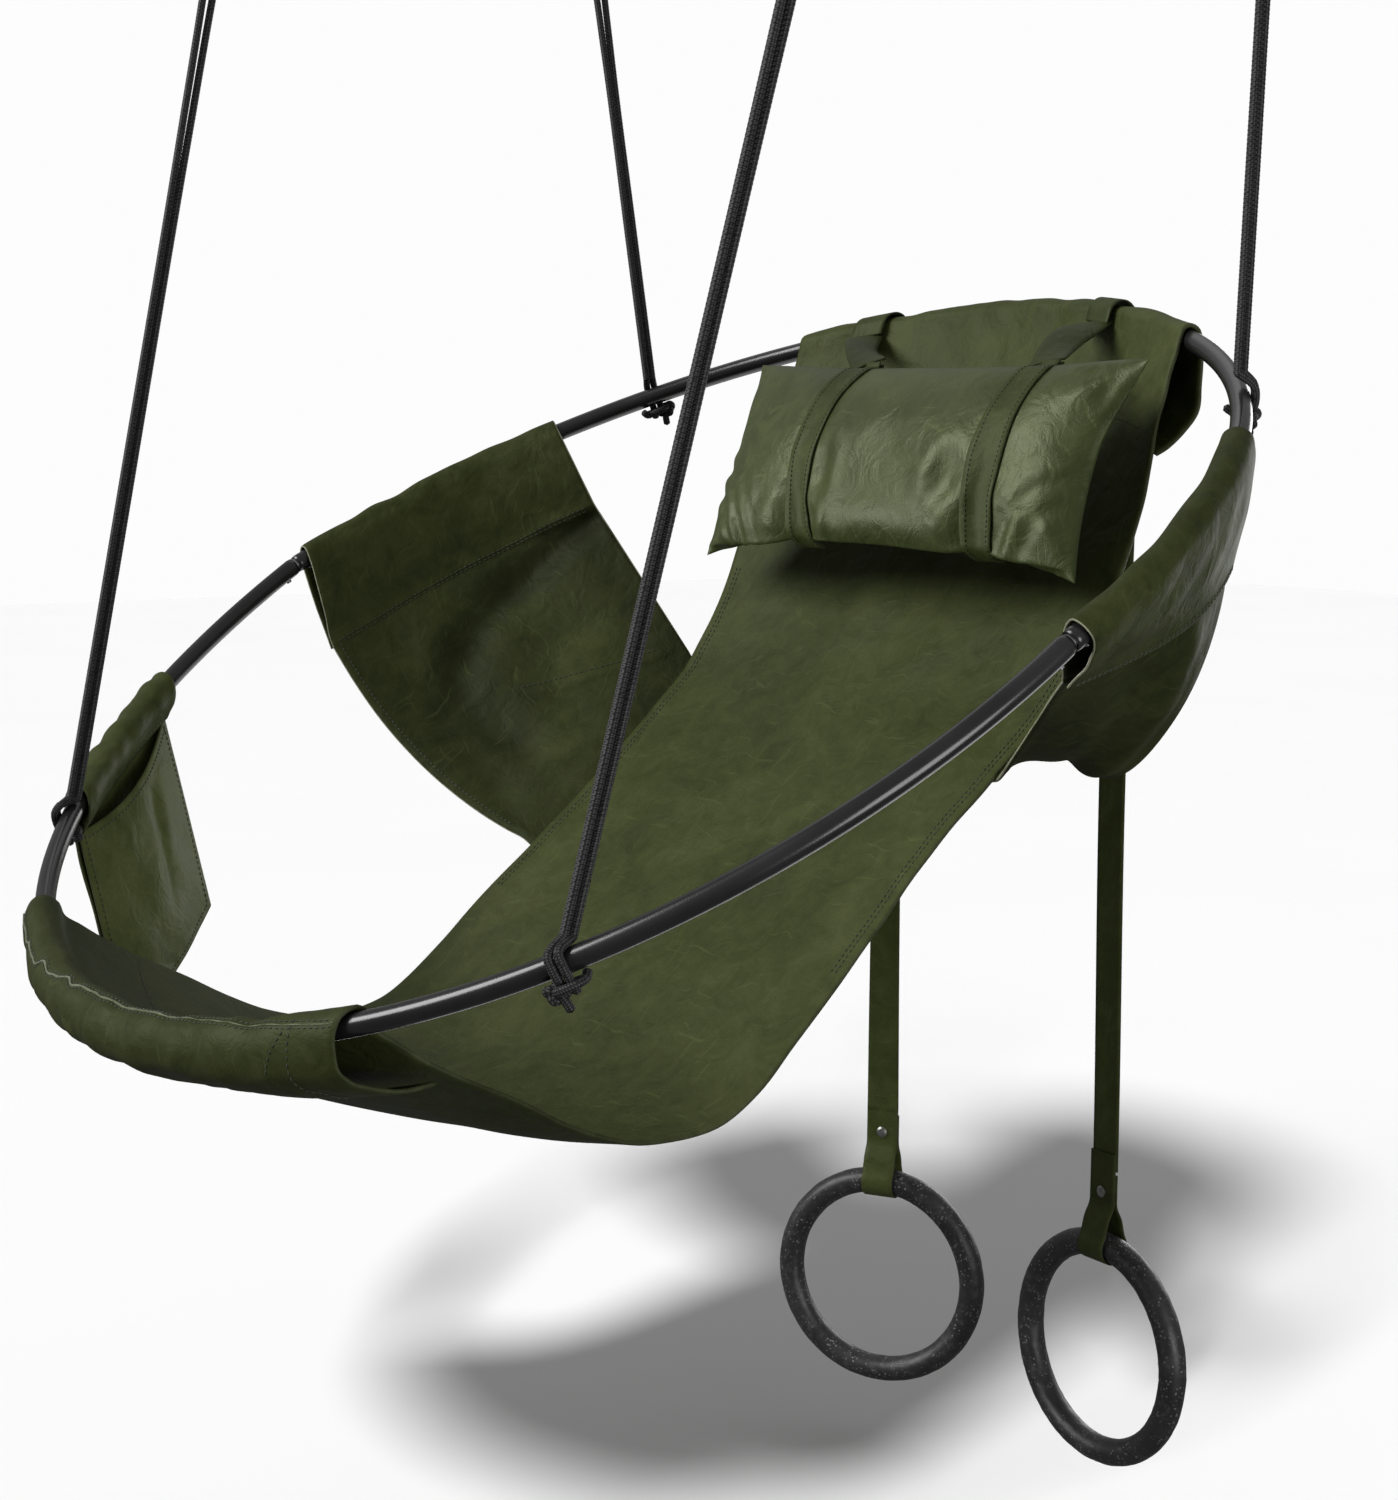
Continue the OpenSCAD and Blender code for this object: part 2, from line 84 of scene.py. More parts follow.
WING_PULL = [[[[-475, 55, -240]], [[-380, 315, -10]]], [[[425, 170, -90]], [[530, 305, -40], [330, 330, -290]]]]
PILLOW = (590.0, 226.0, 112.0)


def unit(v):
    v = np.asarray(v, float)
    return v / np.maximum(np.linalg.norm(v, axis=-1, keepdims=True), 1e-12)


def hoop(a):
    a = np.radians(np.asarray(a, float))
    s, c = np.sin(a), np.cos(a)
    t = np.where(s >= 0, TILT_REAR, TILT_FRONT)
    return np.stack([R * c, R * s * np.cos(t), R * s * np.sin(t)], -1)


def smooth_at(p, i):
    """Smooth curve through points, at place i."""
    n = len(p)
    k = min(int(i), n - 2)
    t = i - k
    a, b, c, d = p[max(k - 1, 0)], p[k], p[k + 1], p[min(k + 2, n - 1)]
    return 0.5 * (2 * b + (c - a) * t + (2 * a - 5 * b + 4 * c - d) * t * t + (3 * b - a - 3 * c + d) * t**3)


def bent(p, t):
    """Curve from the first point to the last, drawn towards the one or two between them."""
    p = [np.asarray(q, float) for q in p]
    t = np.asarray(t, float)[:, None]
    u = 1 - t
    if len(p) == 3:
        return u * u * p[0] + 2 * t * u * p[1] + t * t * p[2]
    return u**3 * p[0] + 3 * t * u * u * p[1] + 3 * t * t * u * p[2] + t**3 * p[3]


PROF, PROFM, HALF_W = (np.array([smooth_at(p, i / 2) for i in range(17)]) for p in (EDGE_LINE, MID_LINE, HALF_LINE))


def sec(a, o, s):
    return H + hoop(a) + np.asarray(o, float) * s[0] + np.array([0, 0, -s[1]])


BACK0 = H + np.array([23, 470, 250])
BD, BN = unit([0, -80, -220]), unit([0, -220, 80])
PILLOW_C = BACK0 + BD * 151 + BN * 62


def spline(P, n=None, t=None):
    """Smooth curve through points on axis 0, by length."""
    P = np.asarray(P, float)
    k = len(P)
    f = P.reshape(k, -1)
    d = np.maximum(np.linalg.norm(np.diff(f, axis=0), axis=1), 1e-9)
    s = np.concatenate([[0], np.cumsum(d)])
    m = np.zeros_like(f)
    slope = np.diff(f, axis=0) / d[:, None]
    m[1:-1] = (slope[:-1] * d[1:, None] + slope[1:] * d[:-1, None]) / (d[1:] + d[:-1])[:, None]
    m[0], m[-1] = slope[0], slope[-1]
    t = np.linspace(0, 1, n) if t is None else np.asarray(t, float)
    x = t * s[-1]
    i = np.clip(np.searchsorted(s, x, side="right") - 1, 0, k - 2)
    h = (s[i + 1] - s[i])[:, None]
    u = ((x - s[i])[:, None]) / h
    r = (2 * u**3 - 3 * u**2 + 1) * f[i] + (u**3 - 2 * u**2 + u) * h * m[i] + (3 * u**2 - 2 * u**3) * f[i + 1] + (u**3 - u**2) * h * m[i + 1]
    return r.reshape((len(x),) + P.shape[1:])


def bumps(P, size, seed, n=26):
    """Smooth made-up unevenness of about -1 to 1, with features of the given size."""
    g = np.random.default_rng(seed)
    k = unit(g.normal(size=(n, 3))) * (2 * math.pi / size) * g.uniform(0.6, 1.5, (n, 1))
    return np.cos(P @ k.T + g.uniform(0, 6.283, n)).sum(-1) / math.sqrt(n) * 0.8


def smooth01(x, a, b):
    t = np.clip((np.asarray(x, float) - a) / (b - a), 0, 1)
    return t * t * (3 - 2 * t)


# ------------------------------------------------------------------ meshes
def make(name, V, F, mats, index=None, attrs=None, flat=False):
    me = bpy.data.meshes.new(name)
    me.from_pydata((np.asarray(V) * 0.001).tolist(), [], [tuple(int(i) for i in f) for f in F])
    for m in mats:
        me.materials.append(m)
    if index is not None:
        me.polygons.foreach_set("material_index", np.asarray(index, dtype=np.int32))
    if not flat:
        me.polygons.foreach_set("use_smooth", np.ones(len(me.polygons), dtype=bool))
    for key, val in (attrs or {}).items():
        a = me.attributes.new(key, "FLOAT", "POINT")
        a.data.foreach_set("value", np.asarray(val, dtype=np.float32))
    bm = bmesh.new()
    bm.from_mesh(me)
    bmesh.ops.recalc_face_normals(bm, faces=bm.faces)
    bm.to_mesh(me)
    bm.free()
    me.update()
    o = bpy.data.objects.new(name, me)
    bpy.context.scene.collection.objects.link(o)
    return o


def normals(P):
    n = np.cross(np.gradient(P, axis=0), np.gradient(P, axis=1))
    return unit(n)


def grid_faces(n, m, base=0):
    i, j = np.meshgrid(np.arange(n - 1), np.arange(m - 1), indexing="ij")
    a = base + i * m + j
    return np.stack([a, a + 1, a + m + 1, a + m], -1).reshape(-1, 4)


def leaf(name, P, th, mats, N=None, tone=1.0):
    """A closed sheet of leather on a grid of points, with a rounded cut edge in the second material."""
    n, m = P.shape[:2]
    N = normals(P) if N is None else N
    h = np.broadcast_to(np.asarray(th, float) / 2, (n, m))[..., None]
    top, bot = P + N * h, P - N * h
    bi = np.array([(0, j) for j in range(m)] + [(i, m - 1) for i in range(1, n)] + [(n - 1, j) for j in range(m - 2, -1, -1)] + [(i, 0) for i in range(n - 2, 0, -1)])
    inn = np.stack([np.clip(bi[:, 0], 1, n - 2), np.clip(bi[:, 1], 1, m - 2)], -1)
    pb = P[bi[:, 0], bi[:, 1]]
    rim = pb + unit(pb - P[inn[:, 0], inn[:, 1]]) * h[bi[:, 0], bi[:, 1]] * 0.7
    V = np.concatenate([top.reshape(-1, 3), bot.reshape(-1, 3), rim])
    k, q = n * m, len(bi)
    f1 = grid_faces(n, m)
    f2 = grid_faces(n, m, k)[:, ::-1]
    e = bi[:, 0] * m + bi[:, 1]
    e2, r1 = np.roll(e, -1), 2 * k + np.arange(q)
    r2 = np.roll(r1, -1)
    f3 = np.stack([e2, e, r1, r2], -1)
    f4 = np.stack([r2, r1, e + k, e2 + k], -1)
    idx = np.concatenate([np.zeros(len(f1) * 2, int), np.full(2 * q, 1 if len(mats) > 1 else 0)])
    # tone is a factor on the colour at each point; on the sling, wings, rear straps and pocket it carries painted light
    # and shade
    tone = np.broadcast_to(np.asarray(tone, float), (n, m))
    painted_light_and_shade = np.concatenate([tone.reshape(-1), tone.reshape(-1), tone[bi[:, 0], bi[:, 1]]])
    return make(name, V, np.concatenate([f1, f2, f3, f4]), mats, idx, attrs={"painted_light_and_shade": painted_light_and_shade})


def frames(P, ref=None):
    """Tangents and a steady pair of side directions along a path."""
    T = unit(np.gradient(P, axis=0))
    r = np.array([0.0, 0, 1]) if ref is None else np.asarray(ref, float)
    if abs(r @ T[0]) > 0.95:
        r = np.array([1.0, 0, 0])
    u = unit(r - T[0] * (r @ T[0]))
    U = [u]
    for i in range(1, len(P)):
        u = unit(u - T[i] * (u @ T[i]))
        U.append(u)
    U = np.array(U)
    return T, U, np.cross(T, U)


def sweep(P, r, sides, ref=None, base=0, cap=True, wobble=None):
    """Vertices and faces of a round tube along a path with domed ends."""
    P = np.asarray(P, float)
    T, U, W = frames(P, ref)
    r = np.broadcast_to(np.asarray(r, float), (len(P),)).copy()
    a = 2 * math.pi * np.arange(sides) / sides
    rr = np.broadcast_to(r[:, None], (len(P), sides)).copy()
    if wobble is not None:
        rr = rr * wobble
    V = P[:, None] + rr[..., None] * (np.cos(a)[None, :, None] * U[:, None] + np.sin(a)[None, :, None] * W[:, None])
    n = len(P)
    i, k = np.meshgrid(np.arange(n - 1), np.arange(sides), indexing="ij")
    q = (k + 1) % sides
    F = np.stack([i * sides + k, i * sides + q, (i + 1) * sides + q, (i + 1) * sides + k], -1).reshape(-1, 4) + base
    V = V.reshape(-1, 3)
    F = [tuple(f) for f in F]
    if cap:
        V = np.concatenate([V, [P[0] - T[0] * r[0] * 0.55, P[-1] + T[-1] * r[-1] * 0.55]])
        c0, c1 = base + n * sides, base + n * sides + 1
        for s in range(sides):
            F.append((base + (s + 1) % sides, base + s, c0))
            F.append((base + (n - 1) * sides + s, base + (n - 1) * sides + (s + 1) % sides, c1))
    return V, F


def resample(P, step):
    P = np.asarray(P, float)
    s = np.concatenate([[0], np.cumsum(np.linalg.norm(np.diff(P, axis=0), axis=1))])
    x = np.linspace(0, s[-1], max(3, int(round(s[-1] / step)) + 1))
    return np.stack([np.interp(x, s, P[:, c]) for c in range(3)], -1), x


def braid(P, r, step=0.8, sides=18, base=0, seed=0):
    """A braided cord: two families of strands that cross over and under round the core."""
    P, x = resample(P, step)
    a = 2 * math.pi * np.arange(sides) / sides
    pitch, k = 8.0, 4
    p1 = k * a[None] + 2 * math.pi * k * x[:, None] / (pitch * k / 2)
    p2 = k * a[None] - 2 * math.pi * k * x[:, None] / (pitch * k / 2)
    over = np.sin((p1 + p2) / 2) * np.sin((p1 - p2) / 2)
    h = np.maximum(np.cos(p2) * (over > 0) + np.cos(p1) * (over <= 0), -0.6)
    V, F = sweep(P, r * 0.965, sides, base=base, wobble=1 + 0.045 * h)
    g = np.random.default_rng(seed)
    c = np.where(over > 0, np.cos(p2), np.cos(p1))
    fl = ((np.abs(over) > 0.30) & (c > 0.55)).astype(float) * np.where(g.uniform(size=over.shape) > 0.12, 1.0, 0.35)
    fleck = np.concatenate([fl.reshape(-1), [0, 0]])
    height = np.concatenate([h.reshape(-1), [0, 0]])
    return V, F, fleck, height, P


def stitch_run(P, N, pitch=6.2, length=4.4, r=0.62, lift=0.25, base=0):
    """Sewing thread: one small rounded thread length for each stitch."""
    P, x = np.asarray(P, float), None
    s = np.concatenate([[0], np.cumsum(np.linalg.norm(np.diff(P, axis=0), axis=1))])
    V, F = [], []
    t = np.array([-0.5, -0.42, -0.15, 0.15, 0.42, 0.5])
    rad = np.array([0.15, 0.75, 1, 1, 0.75, 0.15]) * r
    dip = np.array([-1.0, -0.25, 0.25, 0.25, -0.25, -1.0]) * r
    a = 2 * math.pi * np.arange(6) / 6
    for c in np.arange(pitch / 2, s[-1] - pitch / 2, pitch):
        q = c + t * length
        pts = np.stack([np.interp(q, s, P[:, k]) for k in range(3)], -1)
        nn = unit(np.array([np.interp(c, s, N[:, k]) for k in range(3)]))
        tt = unit(pts[-1] - pts[0])
        ss = np.cross(nn, tt)
        pts = pts + nn * (lift + dip)[:, None]
        ring = pts[:, None] + rad[:, None, None] * (np.cos(a)[None, :, None] * ss + np.sin(a)[None, :, None] * nn)
        b = base + len(V) * 36
        V.append(ring.reshape(-1, 3))
        for i in range(5):
            for k in range(6):
                F.append((b + i * 6 + k, b + i * 6 + (k + 1) % 6, b + i * 6 + 6 + (k + 1) % 6, b + i * 6 + 6 + k))
        F.append(tuple(b + k for k in range(5, -1, -1)))
        F.append(tuple(b + 30 + k for k in range(6)))
    return (np.concatenate(V) if V else np.zeros((0, 3))), F


class Threads:
    """Collects rows of stitches into one piece."""

    def __init__(self):
        self.V, self.F, self.n = [], [], 0

    def add(self, P, N, **kw):
        v, f = stitch_run(P, N, base=self.n, **kw)
        if len(v):
            self.V.append(v)
            self.F += f
            self.n += len(v)

    def piece(self, name, mat):
        return make(name, np.concatenate(self.V), self.F, [mat])


def on_grid(P, i, j):
    """Points on a grid at fractional rows and columns."""
    n, m = P.shape[:2]
    i = np.clip(np.asarray(i, float), 0, n - 1.0001)
    j = np.clip(np.asarray(j, float), 0, m - 1.0001)
    a, b = i.astype(int), j.astype(int)
    u, v = (i - a)[:, None], (j - b)[:, None]
    return P[a, b] * (1 - u) * (1 - v) + P[a + 1, b] * u * (1 - v) + P[a, b + 1] * (1 - u) * v + P[a + 1, b + 1] * u * v


# ------------------------------------------------------------------ materials
def new_mat(name):
    m = bpy.data.materials.new(name)
    m.use_nodes = True
    return m, m.node_tree, m.node_tree.nodes["Principled BSDF"]


def nd(nt, kind, ins=None, **props):
    n = nt.nodes.new(kind)
    for k, v in props.items():
        setattr(n, k, v)
    for k, v in (ins or {}).items():
        s = n.inputs[k]
        if isinstance(v, bpy.types.NodeSocket):
            nt.links.new(v, s)
        else:
            s.default_value = v
    return n


def ramp(nt, fac, stops, interp="LINEAR"):
    n = nt.nodes.new("ShaderNodeValToRGB")
    n.color_ramp.interpolation = interp
    e = n.color_ramp.elements
    while len(e) < len(stops):
        e.new(0.5)
    for k, (p, c) in enumerate(stops):
        e[k].position = p
        e[k].color = (c, c, c, 1) if not isinstance(c, (tuple, list)) else (*c, 1)
    nt.links.new(fac, n.inputs["Fac"])
    return n.outputs["Color"]


def mixc(nt, fac, a, b, mode="MIX"):
    n = nt.nodes.new("ShaderNodeMix")
    n.data_type = "RGBA"
    n.blend_type = mode
    for s, v in ((n.inputs[0], fac), (n.inputs[6], a), (n.inputs[7], b)):
        if isinstance(v, bpy.types.NodeSocket):
            nt.links.new(v, s)
        else:
            s.default_value = (*v, 1) if isinstance(v, (tuple, list)) else v
    return n.outputs[2]


def mth(nt, op, a, b=None, c=None):
    n = nt.nodes.new("ShaderNodeMath")
    n.operation = op
    for s, v in zip(n.inputs, (a, b, c)):
        if v is None:
            continue
        if isinstance(v, bpy.types.NodeSocket):
            nt.links.new(v, s)
        else:
            s.default_value = v
    return n.outputs[0]


def leather(name, dark, mid, light, rough=0.54, grain=1.0, wear=1.0, spec=0.2, takes_painted_light=False):
    m, nt, b = new_mat(name)
    co = nd(nt, "ShaderNodeTexCoord").outputs["Object"]
    big = nd(nt, "ShaderNodeTexNoise", {"Vector": co, "Scale": 5.5, "Detail": 4.0, "Roughness": 0.6, "Distortion": 0.4}).outputs["Fac"]
    mot = nd(nt, "ShaderNodeTexNoise", {"Vector": co, "Scale": 26.0, "Detail": 6.0, "Roughness": 0.68, "Distortion": 0.8}).outputs["Fac"]
    tone = mth(nt, "ADD", mth(nt, "MULTIPLY", big, 0.5), mth(nt, "MULTIPLY", mot, 0.5))
    col = ramp(nt, tone, [(0.38, dark), (0.5, mid), (0.62, light)])
    # the colour is multiplied by the per-point factor of painted light and shade
    if takes_painted_light:
        sh = nd(nt, "ShaderNodeAttribute", attribute_name="painted_light_and_shade").outputs["Color"]
        col = mixc(nt, 1.0, col, sh, "MULTIPLY")
    # a net of fine creases that comes and goes
    bend = nd(nt, "ShaderNodeTexNoise", {"Vector": co, "Scale": 18.0, "Detail": 2.0}).outputs["Color"]
    off = nd(nt, "ShaderNodeVectorMath", {0: bend, 1: (0.5, 0.5, 0.5)}, operation="SUBTRACT").outputs[0]
    off = nd(nt, "ShaderNodeVectorMath", {0: off, "Scale": 0.03}, operation="SCALE").outputs[0]
    co2 = nd(nt, "ShaderNodeVectorMath", {0: co, 1: off}, operation="ADD").outputs[0]
    net = nd(nt, "ShaderNodeTexVoronoi", {"Vector": co2, "Scale": 88.0}, feature="DISTANCE_TO_EDGE").outputs["Distance"]
    lines = ramp(nt, net, [(0.0, 1.0), (0.035, 0.0)])
    where = ramp(nt, nd(nt, "ShaderNodeTexNoise", {"Vector": co, "Scale": 7.0, "Detail": 3.0}).outputs["Fac"], [(0.5, 0.0), (0.66, 1.0)])
    crease = mth(nt, "MULTIPLY", lines, where)
    # hair scratches in two directions
    scr = None
    for k, (rot, sc) in enumerate((((0.3, 0.9, 0.5), (300.0, 16.0, 16.0)), ((1.1, 0.2, 1.9), (16.0, 260.0, 18.0)))):
        mp = nd(nt, "ShaderNodeMapping", {"Vector": co2, "Rotation": rot, "Scale": sc}).outputs["Vector"]
        nz = nd(nt, "ShaderNodeTexNoise", {"Vector": mp, "Scale": 1.0, "Detail": 1.0}).outputs["Fac"]
        s1 = ramp(nt, nz, [(0.69, 0.0), (0.735, 1.0)])
        scr = s1 if scr is None else mth(nt, "MAXIMUM", scr, s1)
    worn = mth(nt, "MULTIPLY", mth(nt, "MAXIMUM", mth(nt, "MULTIPLY", crease, 0.22), mth(nt, "MULTIPLY", scr, 0.5)), wear)
    pale = tuple(min(1.0, c * 1.8 + 0.006) for c in light)
    col = mixc(nt, mth(nt, "MULTIPLY", worn, 0.5), col, pale)
    # fine grain
    pore = nd(nt, "ShaderNodeTexVoronoi", {"Vector": co, "Scale": 640.0, "Randomness": 0.95}).outputs["Distance"]
    fine = nd(nt, "ShaderNodeTexNoise", {"Vector": co, "Scale": 900.0, "Detail": 2.0}).outputs["Fac"]
    col = mixc(nt, mth(nt, "MULTIPLY", ramp(nt, pore, [(0.25, 0.0), (0.75, 1.0)]), 0.22 * grain), col, dark)
    nt.links.new(col, b.inputs["Base Color"])
    rr = mth(nt, "ADD", mth(nt, "MULTIPLY", mot, 0.26), rough - 0.13)
    rr = mth(nt, "ADD", rr, mth(nt, "MULTIPLY", worn, 0.10))
    nt.links.new(rr, b.inputs["Roughness"])
    b.inputs["Specular IOR Level"].default_value = spec
    b.inputs["Specular Tint"].default_value = (0.86, 0.95, 0.62, 1)
    hgt = mth(nt, "ADD", mth(nt, "MULTIPLY", pore, -0.5 * grain), mth(nt, "MULTIPLY", fine, 0.25))
    hgt = mth(nt, "SUBTRACT", hgt, mth(nt, "MULTIPLY", worn, 1.1))
    b1 = nd(nt, "ShaderNodeBump", {"Height": hgt, "Strength": 0.34, "Distance": 0.0007}).outputs["Normal"]
    soft = nd(nt, "ShaderNodeTexNoise", {"Vector": co, "Scale": 34.0, "Detail": 3.0, "Distortion": 1.0}).outputs["Fac"]
    b2 = nd(nt, "ShaderNodeBump", {"Height": soft, "Strength": 0.42, "Distance": 0.005, "Normal": b1}).outputs["Normal"]
    nt.links.new(b2, b.inputs["Normal"])
    return m


OLIVE_D, OLIVE_M, OLIVE_L = (0.029, 0.036, 0.0100), (0.044, 0.053, 0.0160), (0.060, 0.070, 0.0230)
sling_mat = leather("sling_leather", OLIVE_D, OLIVE_M, OLIVE_L, takes_painted_light=True)
pillow_mat = leather("pillow_leather", (0.028, 0.037, 0.0100), (0.041, 0.052, 0.0155), (0.056, 0.069, 0.0225), rough=0.42, wear=1.0, spec=0.42)
# painted shade: the wings are the sling's leather made about two thirds as bright
wing_shaded_mat = leather("wing_leather_painted_shade", (0.017, 0.021, 0.0060), (0.029, 0.035, 0.0100), (0.043, 0.050, 0.0160), rough=0.58, wear=1.0, spec=0.14, takes_painted_light=True)
strap_mat = leather("strap_leather", (0.026, 0.033, 0.0090), (0.038, 0.047, 0.0140), (0.053, 0.063, 0.0205), rough=0.5, wear=0.6, takes_painted_light=True)
edge_mat = leather("cut_edge_leather", (0.024, 0.028, 0.012), (0.042, 0.048, 0.022), (0.07, 0.078, 0.04), rough=0.6, wear=0.4)
raw_mat = leather("raw_edge_leather", (0.22, 0.22, 0.15), (0.36, 0.355, 0.26), (0.50, 0.49, 0.38), rough=0.62, wear=0.4)
hem_edge_mat = leather("hem_edge_leather", (0.026, 0.030, 0.012), (0.046, 0.053, 0.024), (0.075, 0.083, 0.042), rough=0.6, wear=0.4)


def thread_material(name, a, c):
    m, nt, b = new_mat(name)
    co = nd(nt, "ShaderNodeTexCoord").outputs["Object"]
    w = nd(nt, "ShaderNodeTexNoise", {"Vector": co, "Scale": 900.0, "Detail": 2.0}).outputs["Fac"]
    nt.links.new(ramp(nt, w, [(0.35, a), (0.65, c)]), b.inputs["Base Color"])
    nt.links.new(nd(nt, "ShaderNodeBump", {"Height": w, "Strength": 0.3, "Distance": 0.0003}).outputs["Normal"], b.inputs["Normal"])
    b.inputs["Roughness"].default_value = 0.62
    b.inputs["Sheen Weight"].default_value = 0.2
    return m


# the welt is pale: partly the pale cut edge of the leather, partly a painted highlight along its ridge
welt_pale_and_highlight_mat = leather("welt_pale_edge_and_painted_highlight", (0.10, 0.11, 0.065), (0.17, 0.185, 0.12), (0.27, 0.285, 0.21), rough=0.3, wear=0.8)
thread_mat = thread_material("sewing_thread", (0.018, 0.022, 0.010), (0.04, 0.046, 0.024))


def coated_steel(name, base, rough):
    m, nt, b = new_mat(name)
    co = nd(nt, "ShaderNodeTexCoord").outputs["Object"]
    peel = nd(nt, "ShaderNodeTexNoise", {"Vector": co, "Scale": 420.0, "Detail": 3.0, "Roughness": 0.6}).outputs["Fac"]
    haze = nd(nt, "ShaderNodeTexNoise", {"Vector": co, "Scale": 13.0, "Detail": 5.0}).outputs["Fac"]
    rub = ramp(nt, nd(nt, "ShaderNodeTexNoise", {"Vector": co, "Scale": 70.0, "Detail": 6.0, "Roughness": 0.75}).outputs["Fac"], [(0.62, 0.0), (0.75, 1.0)])
    col = mixc(nt, mth(nt, "MULTIPLY", rub, 0.3), ramp(nt, haze, [(0.35, base), (0.7, tuple(c * 1.5 + 0.002 for c in base))]), (0.05, 0.05, 0.052))
    nt.links.new(col, b.inputs["Base Color"])
    nt.links.new(mth(nt, "ADD", mth(nt, "MULTIPLY", haze, 0.12), mth(nt, "ADD", mth(nt, "MULTIPLY", rub, 0.12), rough - 0.06)), b.inputs["Roughness"])
    nt.links.new(nd(nt, "ShaderNodeBump", {"Height": peel, "Strength": 0.05, "Distance": 0.0003}).outputs["Normal"], b.inputs["Normal"])
    b.inputs["Coat Weight"].default_value = 0.15
    b.inputs["Coat Roughness"].default_value = 0.18
    return m


hoop_mat = coated_steel("hoop_black_coat", (0.012, 0.012, 0.013), 0.25)
eye_mat = coated_steel("eye_black_coat", (0.012, 0.012, 0.013), 0.36)


def bare_metal(name, base, rough):
    m, nt, b = new_mat(name)
    co = nd(nt, "ShaderNodeTexCoord").outputs["Object"]
    mp = nd(nt, "ShaderNodeMapping", {"Vector": co, "Scale": (60.0, 60.0, 900.0)}).outputs["Vector"]
    turn = nd(nt, "ShaderNodeTexNoise", {"Vector": mp, "Scale": 1.0, "Detail": 3.0}).outputs["Fac"]
    tarn = nd(nt, "ShaderNodeTexNoise", {"Vector": co, "Scale": 160.0, "Detail": 4.0}).outputs["Fac"]
    nt.links.new(ramp(nt, tarn, [(0.3, tuple(c * 0.62 for c in base)), (0.62, base)]), b.inputs["Base Color"])
    b.inputs["Metallic"].default_value = 1.0
    nt.links.new(mth(nt, "ADD", mth(nt, "MULTIPLY", turn, 0.2), rough), b.inputs["Roughness"])
    nt.links.new(nd(nt, "ShaderNodeBump", {"Height": turn, "Strength": 0.12, "Distance": 0.0002}).outputs["Normal"], b.inputs["Normal"])
    return m


steel_mat = bare_metal("bare_steel", (0.42, 0.42, 0.43), 0.24)
rivet_mat = bare_metal("rivet_steel", (0.42, 0.42, 0.40), 0.28)


def rope_material(name):
    m, nt, b = new_mat(name)
    co = nd(nt, "ShaderNodeTexCoord").outputs["Object"]
    fl = nd(nt, "ShaderNodeAttribute", attribute_name="fleck").outputs["Fac"]
    hg = nd(nt, "ShaderNodeAttribute", attribute_name="height").outputs["Fac"]
    fib = nd(nt, "ShaderNodeTexNoise", {"Vector": co, "Scale": 1500.0, "Detail": 2.0}).outputs["Fac"]
    # base colour: darker in the grooves between the strands (painted shade), and varied by fibre noise
    base = ramp(nt, mth(nt, "ADD", mth(nt, "MULTIPLY", hg, 0.25), mth(nt, "MULTIPLY", fib, 0.5)), [(0.05, (0.002, 0.002, 0.0025)), (0.55, (0.009, 0.009, 0.010))])
    col = mixc(nt, mth(nt, "MULTIPLY", fl, 0.6), base, (0.17, 0.17, 0.175))
    nt.links.new(col, b.inputs["Base Color"])
    nt.links.new(ramp(nt, fib, [(0.3, 0.5), (0.7, 0.7)]), b.inputs["Roughness"])
    b.inputs["Sheen Weight"].default_value = 0.02
    b.inputs["Specular IOR Level"].default_value = 0.22
    nt.links.new(nd(nt, "ShaderNodeBump", {"Height": fib, "Strength": 0.35, "Distance": 0.0004}).outputs["Normal"], b.inputs["Normal"])
    return m


rope_mat = rope_material("braided_rope")


def ring_material(name):
    m, nt, b = new_mat(name)
    co = nd(nt, "ShaderNodeTexCoord").outputs["Object"]
    pit = nd(nt, "ShaderNodeTexVoronoi", {"Vector": co, "Scale": 230.0, "Randomness": 1.0}).outputs["Distance"]
    pits = ramp(nt, pit, [(0.12, 1.0), (0.34, 0.0)])
    keep = ramp(nt, nd(nt, "ShaderNodeTexNoise", {"Vector": co, "Scale": 55.0, "Detail": 5.0, "Roughness": 0.7}).outputs["Fac"], [(0.46, 0.0), (0.56, 1.0)])
    chip = mth(nt, "MULTIPLY", pits, keep)
    wear = ramp(nt, nd(nt, "ShaderNodeTexNoise", {"Vector": co, "Scale": 95.0, "Detail": 6.0, "Roughness": 0.75}).outputs["Fac"], [(0.52, 0.0), (0.68, 1.0)])
    cloud = nd(nt, "ShaderNodeTexNoise", {"Vector": co, "Scale": 20.0, "Detail": 4.0}).outputs["Fac"]
    col = ramp(nt, cloud, [(0.3, (0.014, 0.014, 0.014)), (0.7, (0.032, 0.032, 0.032))])
    col = mixc(nt, mth(nt, "MULTIPLY", wear, 0.6), col, (0.075, 0.075, 0.073))
    col = mixc(nt, mth(nt, "MULTIPLY", chip, 0.75), col, (0.24, 0.24, 0.24))
    nt.links.new(col, b.inputs["Base Color"])
    nt.links.new(mth(nt, "ADD", mth(nt, "MULTIPLY", wear, 0.2), 0.42), b.inputs["Roughness"])
    hh = mth(nt, "ADD", mth(nt, "MULTIPLY", chip, -0.8), mth(nt, "MULTIPLY", cloud, 0.6))
    nt.links.new(nd(nt, "ShaderNodeBump", {"Height": hh, "Strength": 0.5, "Distance": 0.0012}).outputs["Normal"], b.inputs["Normal"])
    return m


ring_mat = ring_material("ring_black_worn")


def put(obj, body, slot, *nodes):
    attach(obj, body)
    if nodes:
        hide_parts(*nodes)
    return obj


# ------------------------------------------------------------------ ropes and knots
CORDS = {}


def knot_a(sx, sy):
    return 270 + sx * KNOT_FRONT if sy < 0 else 90 - sx * KNOT_REAR


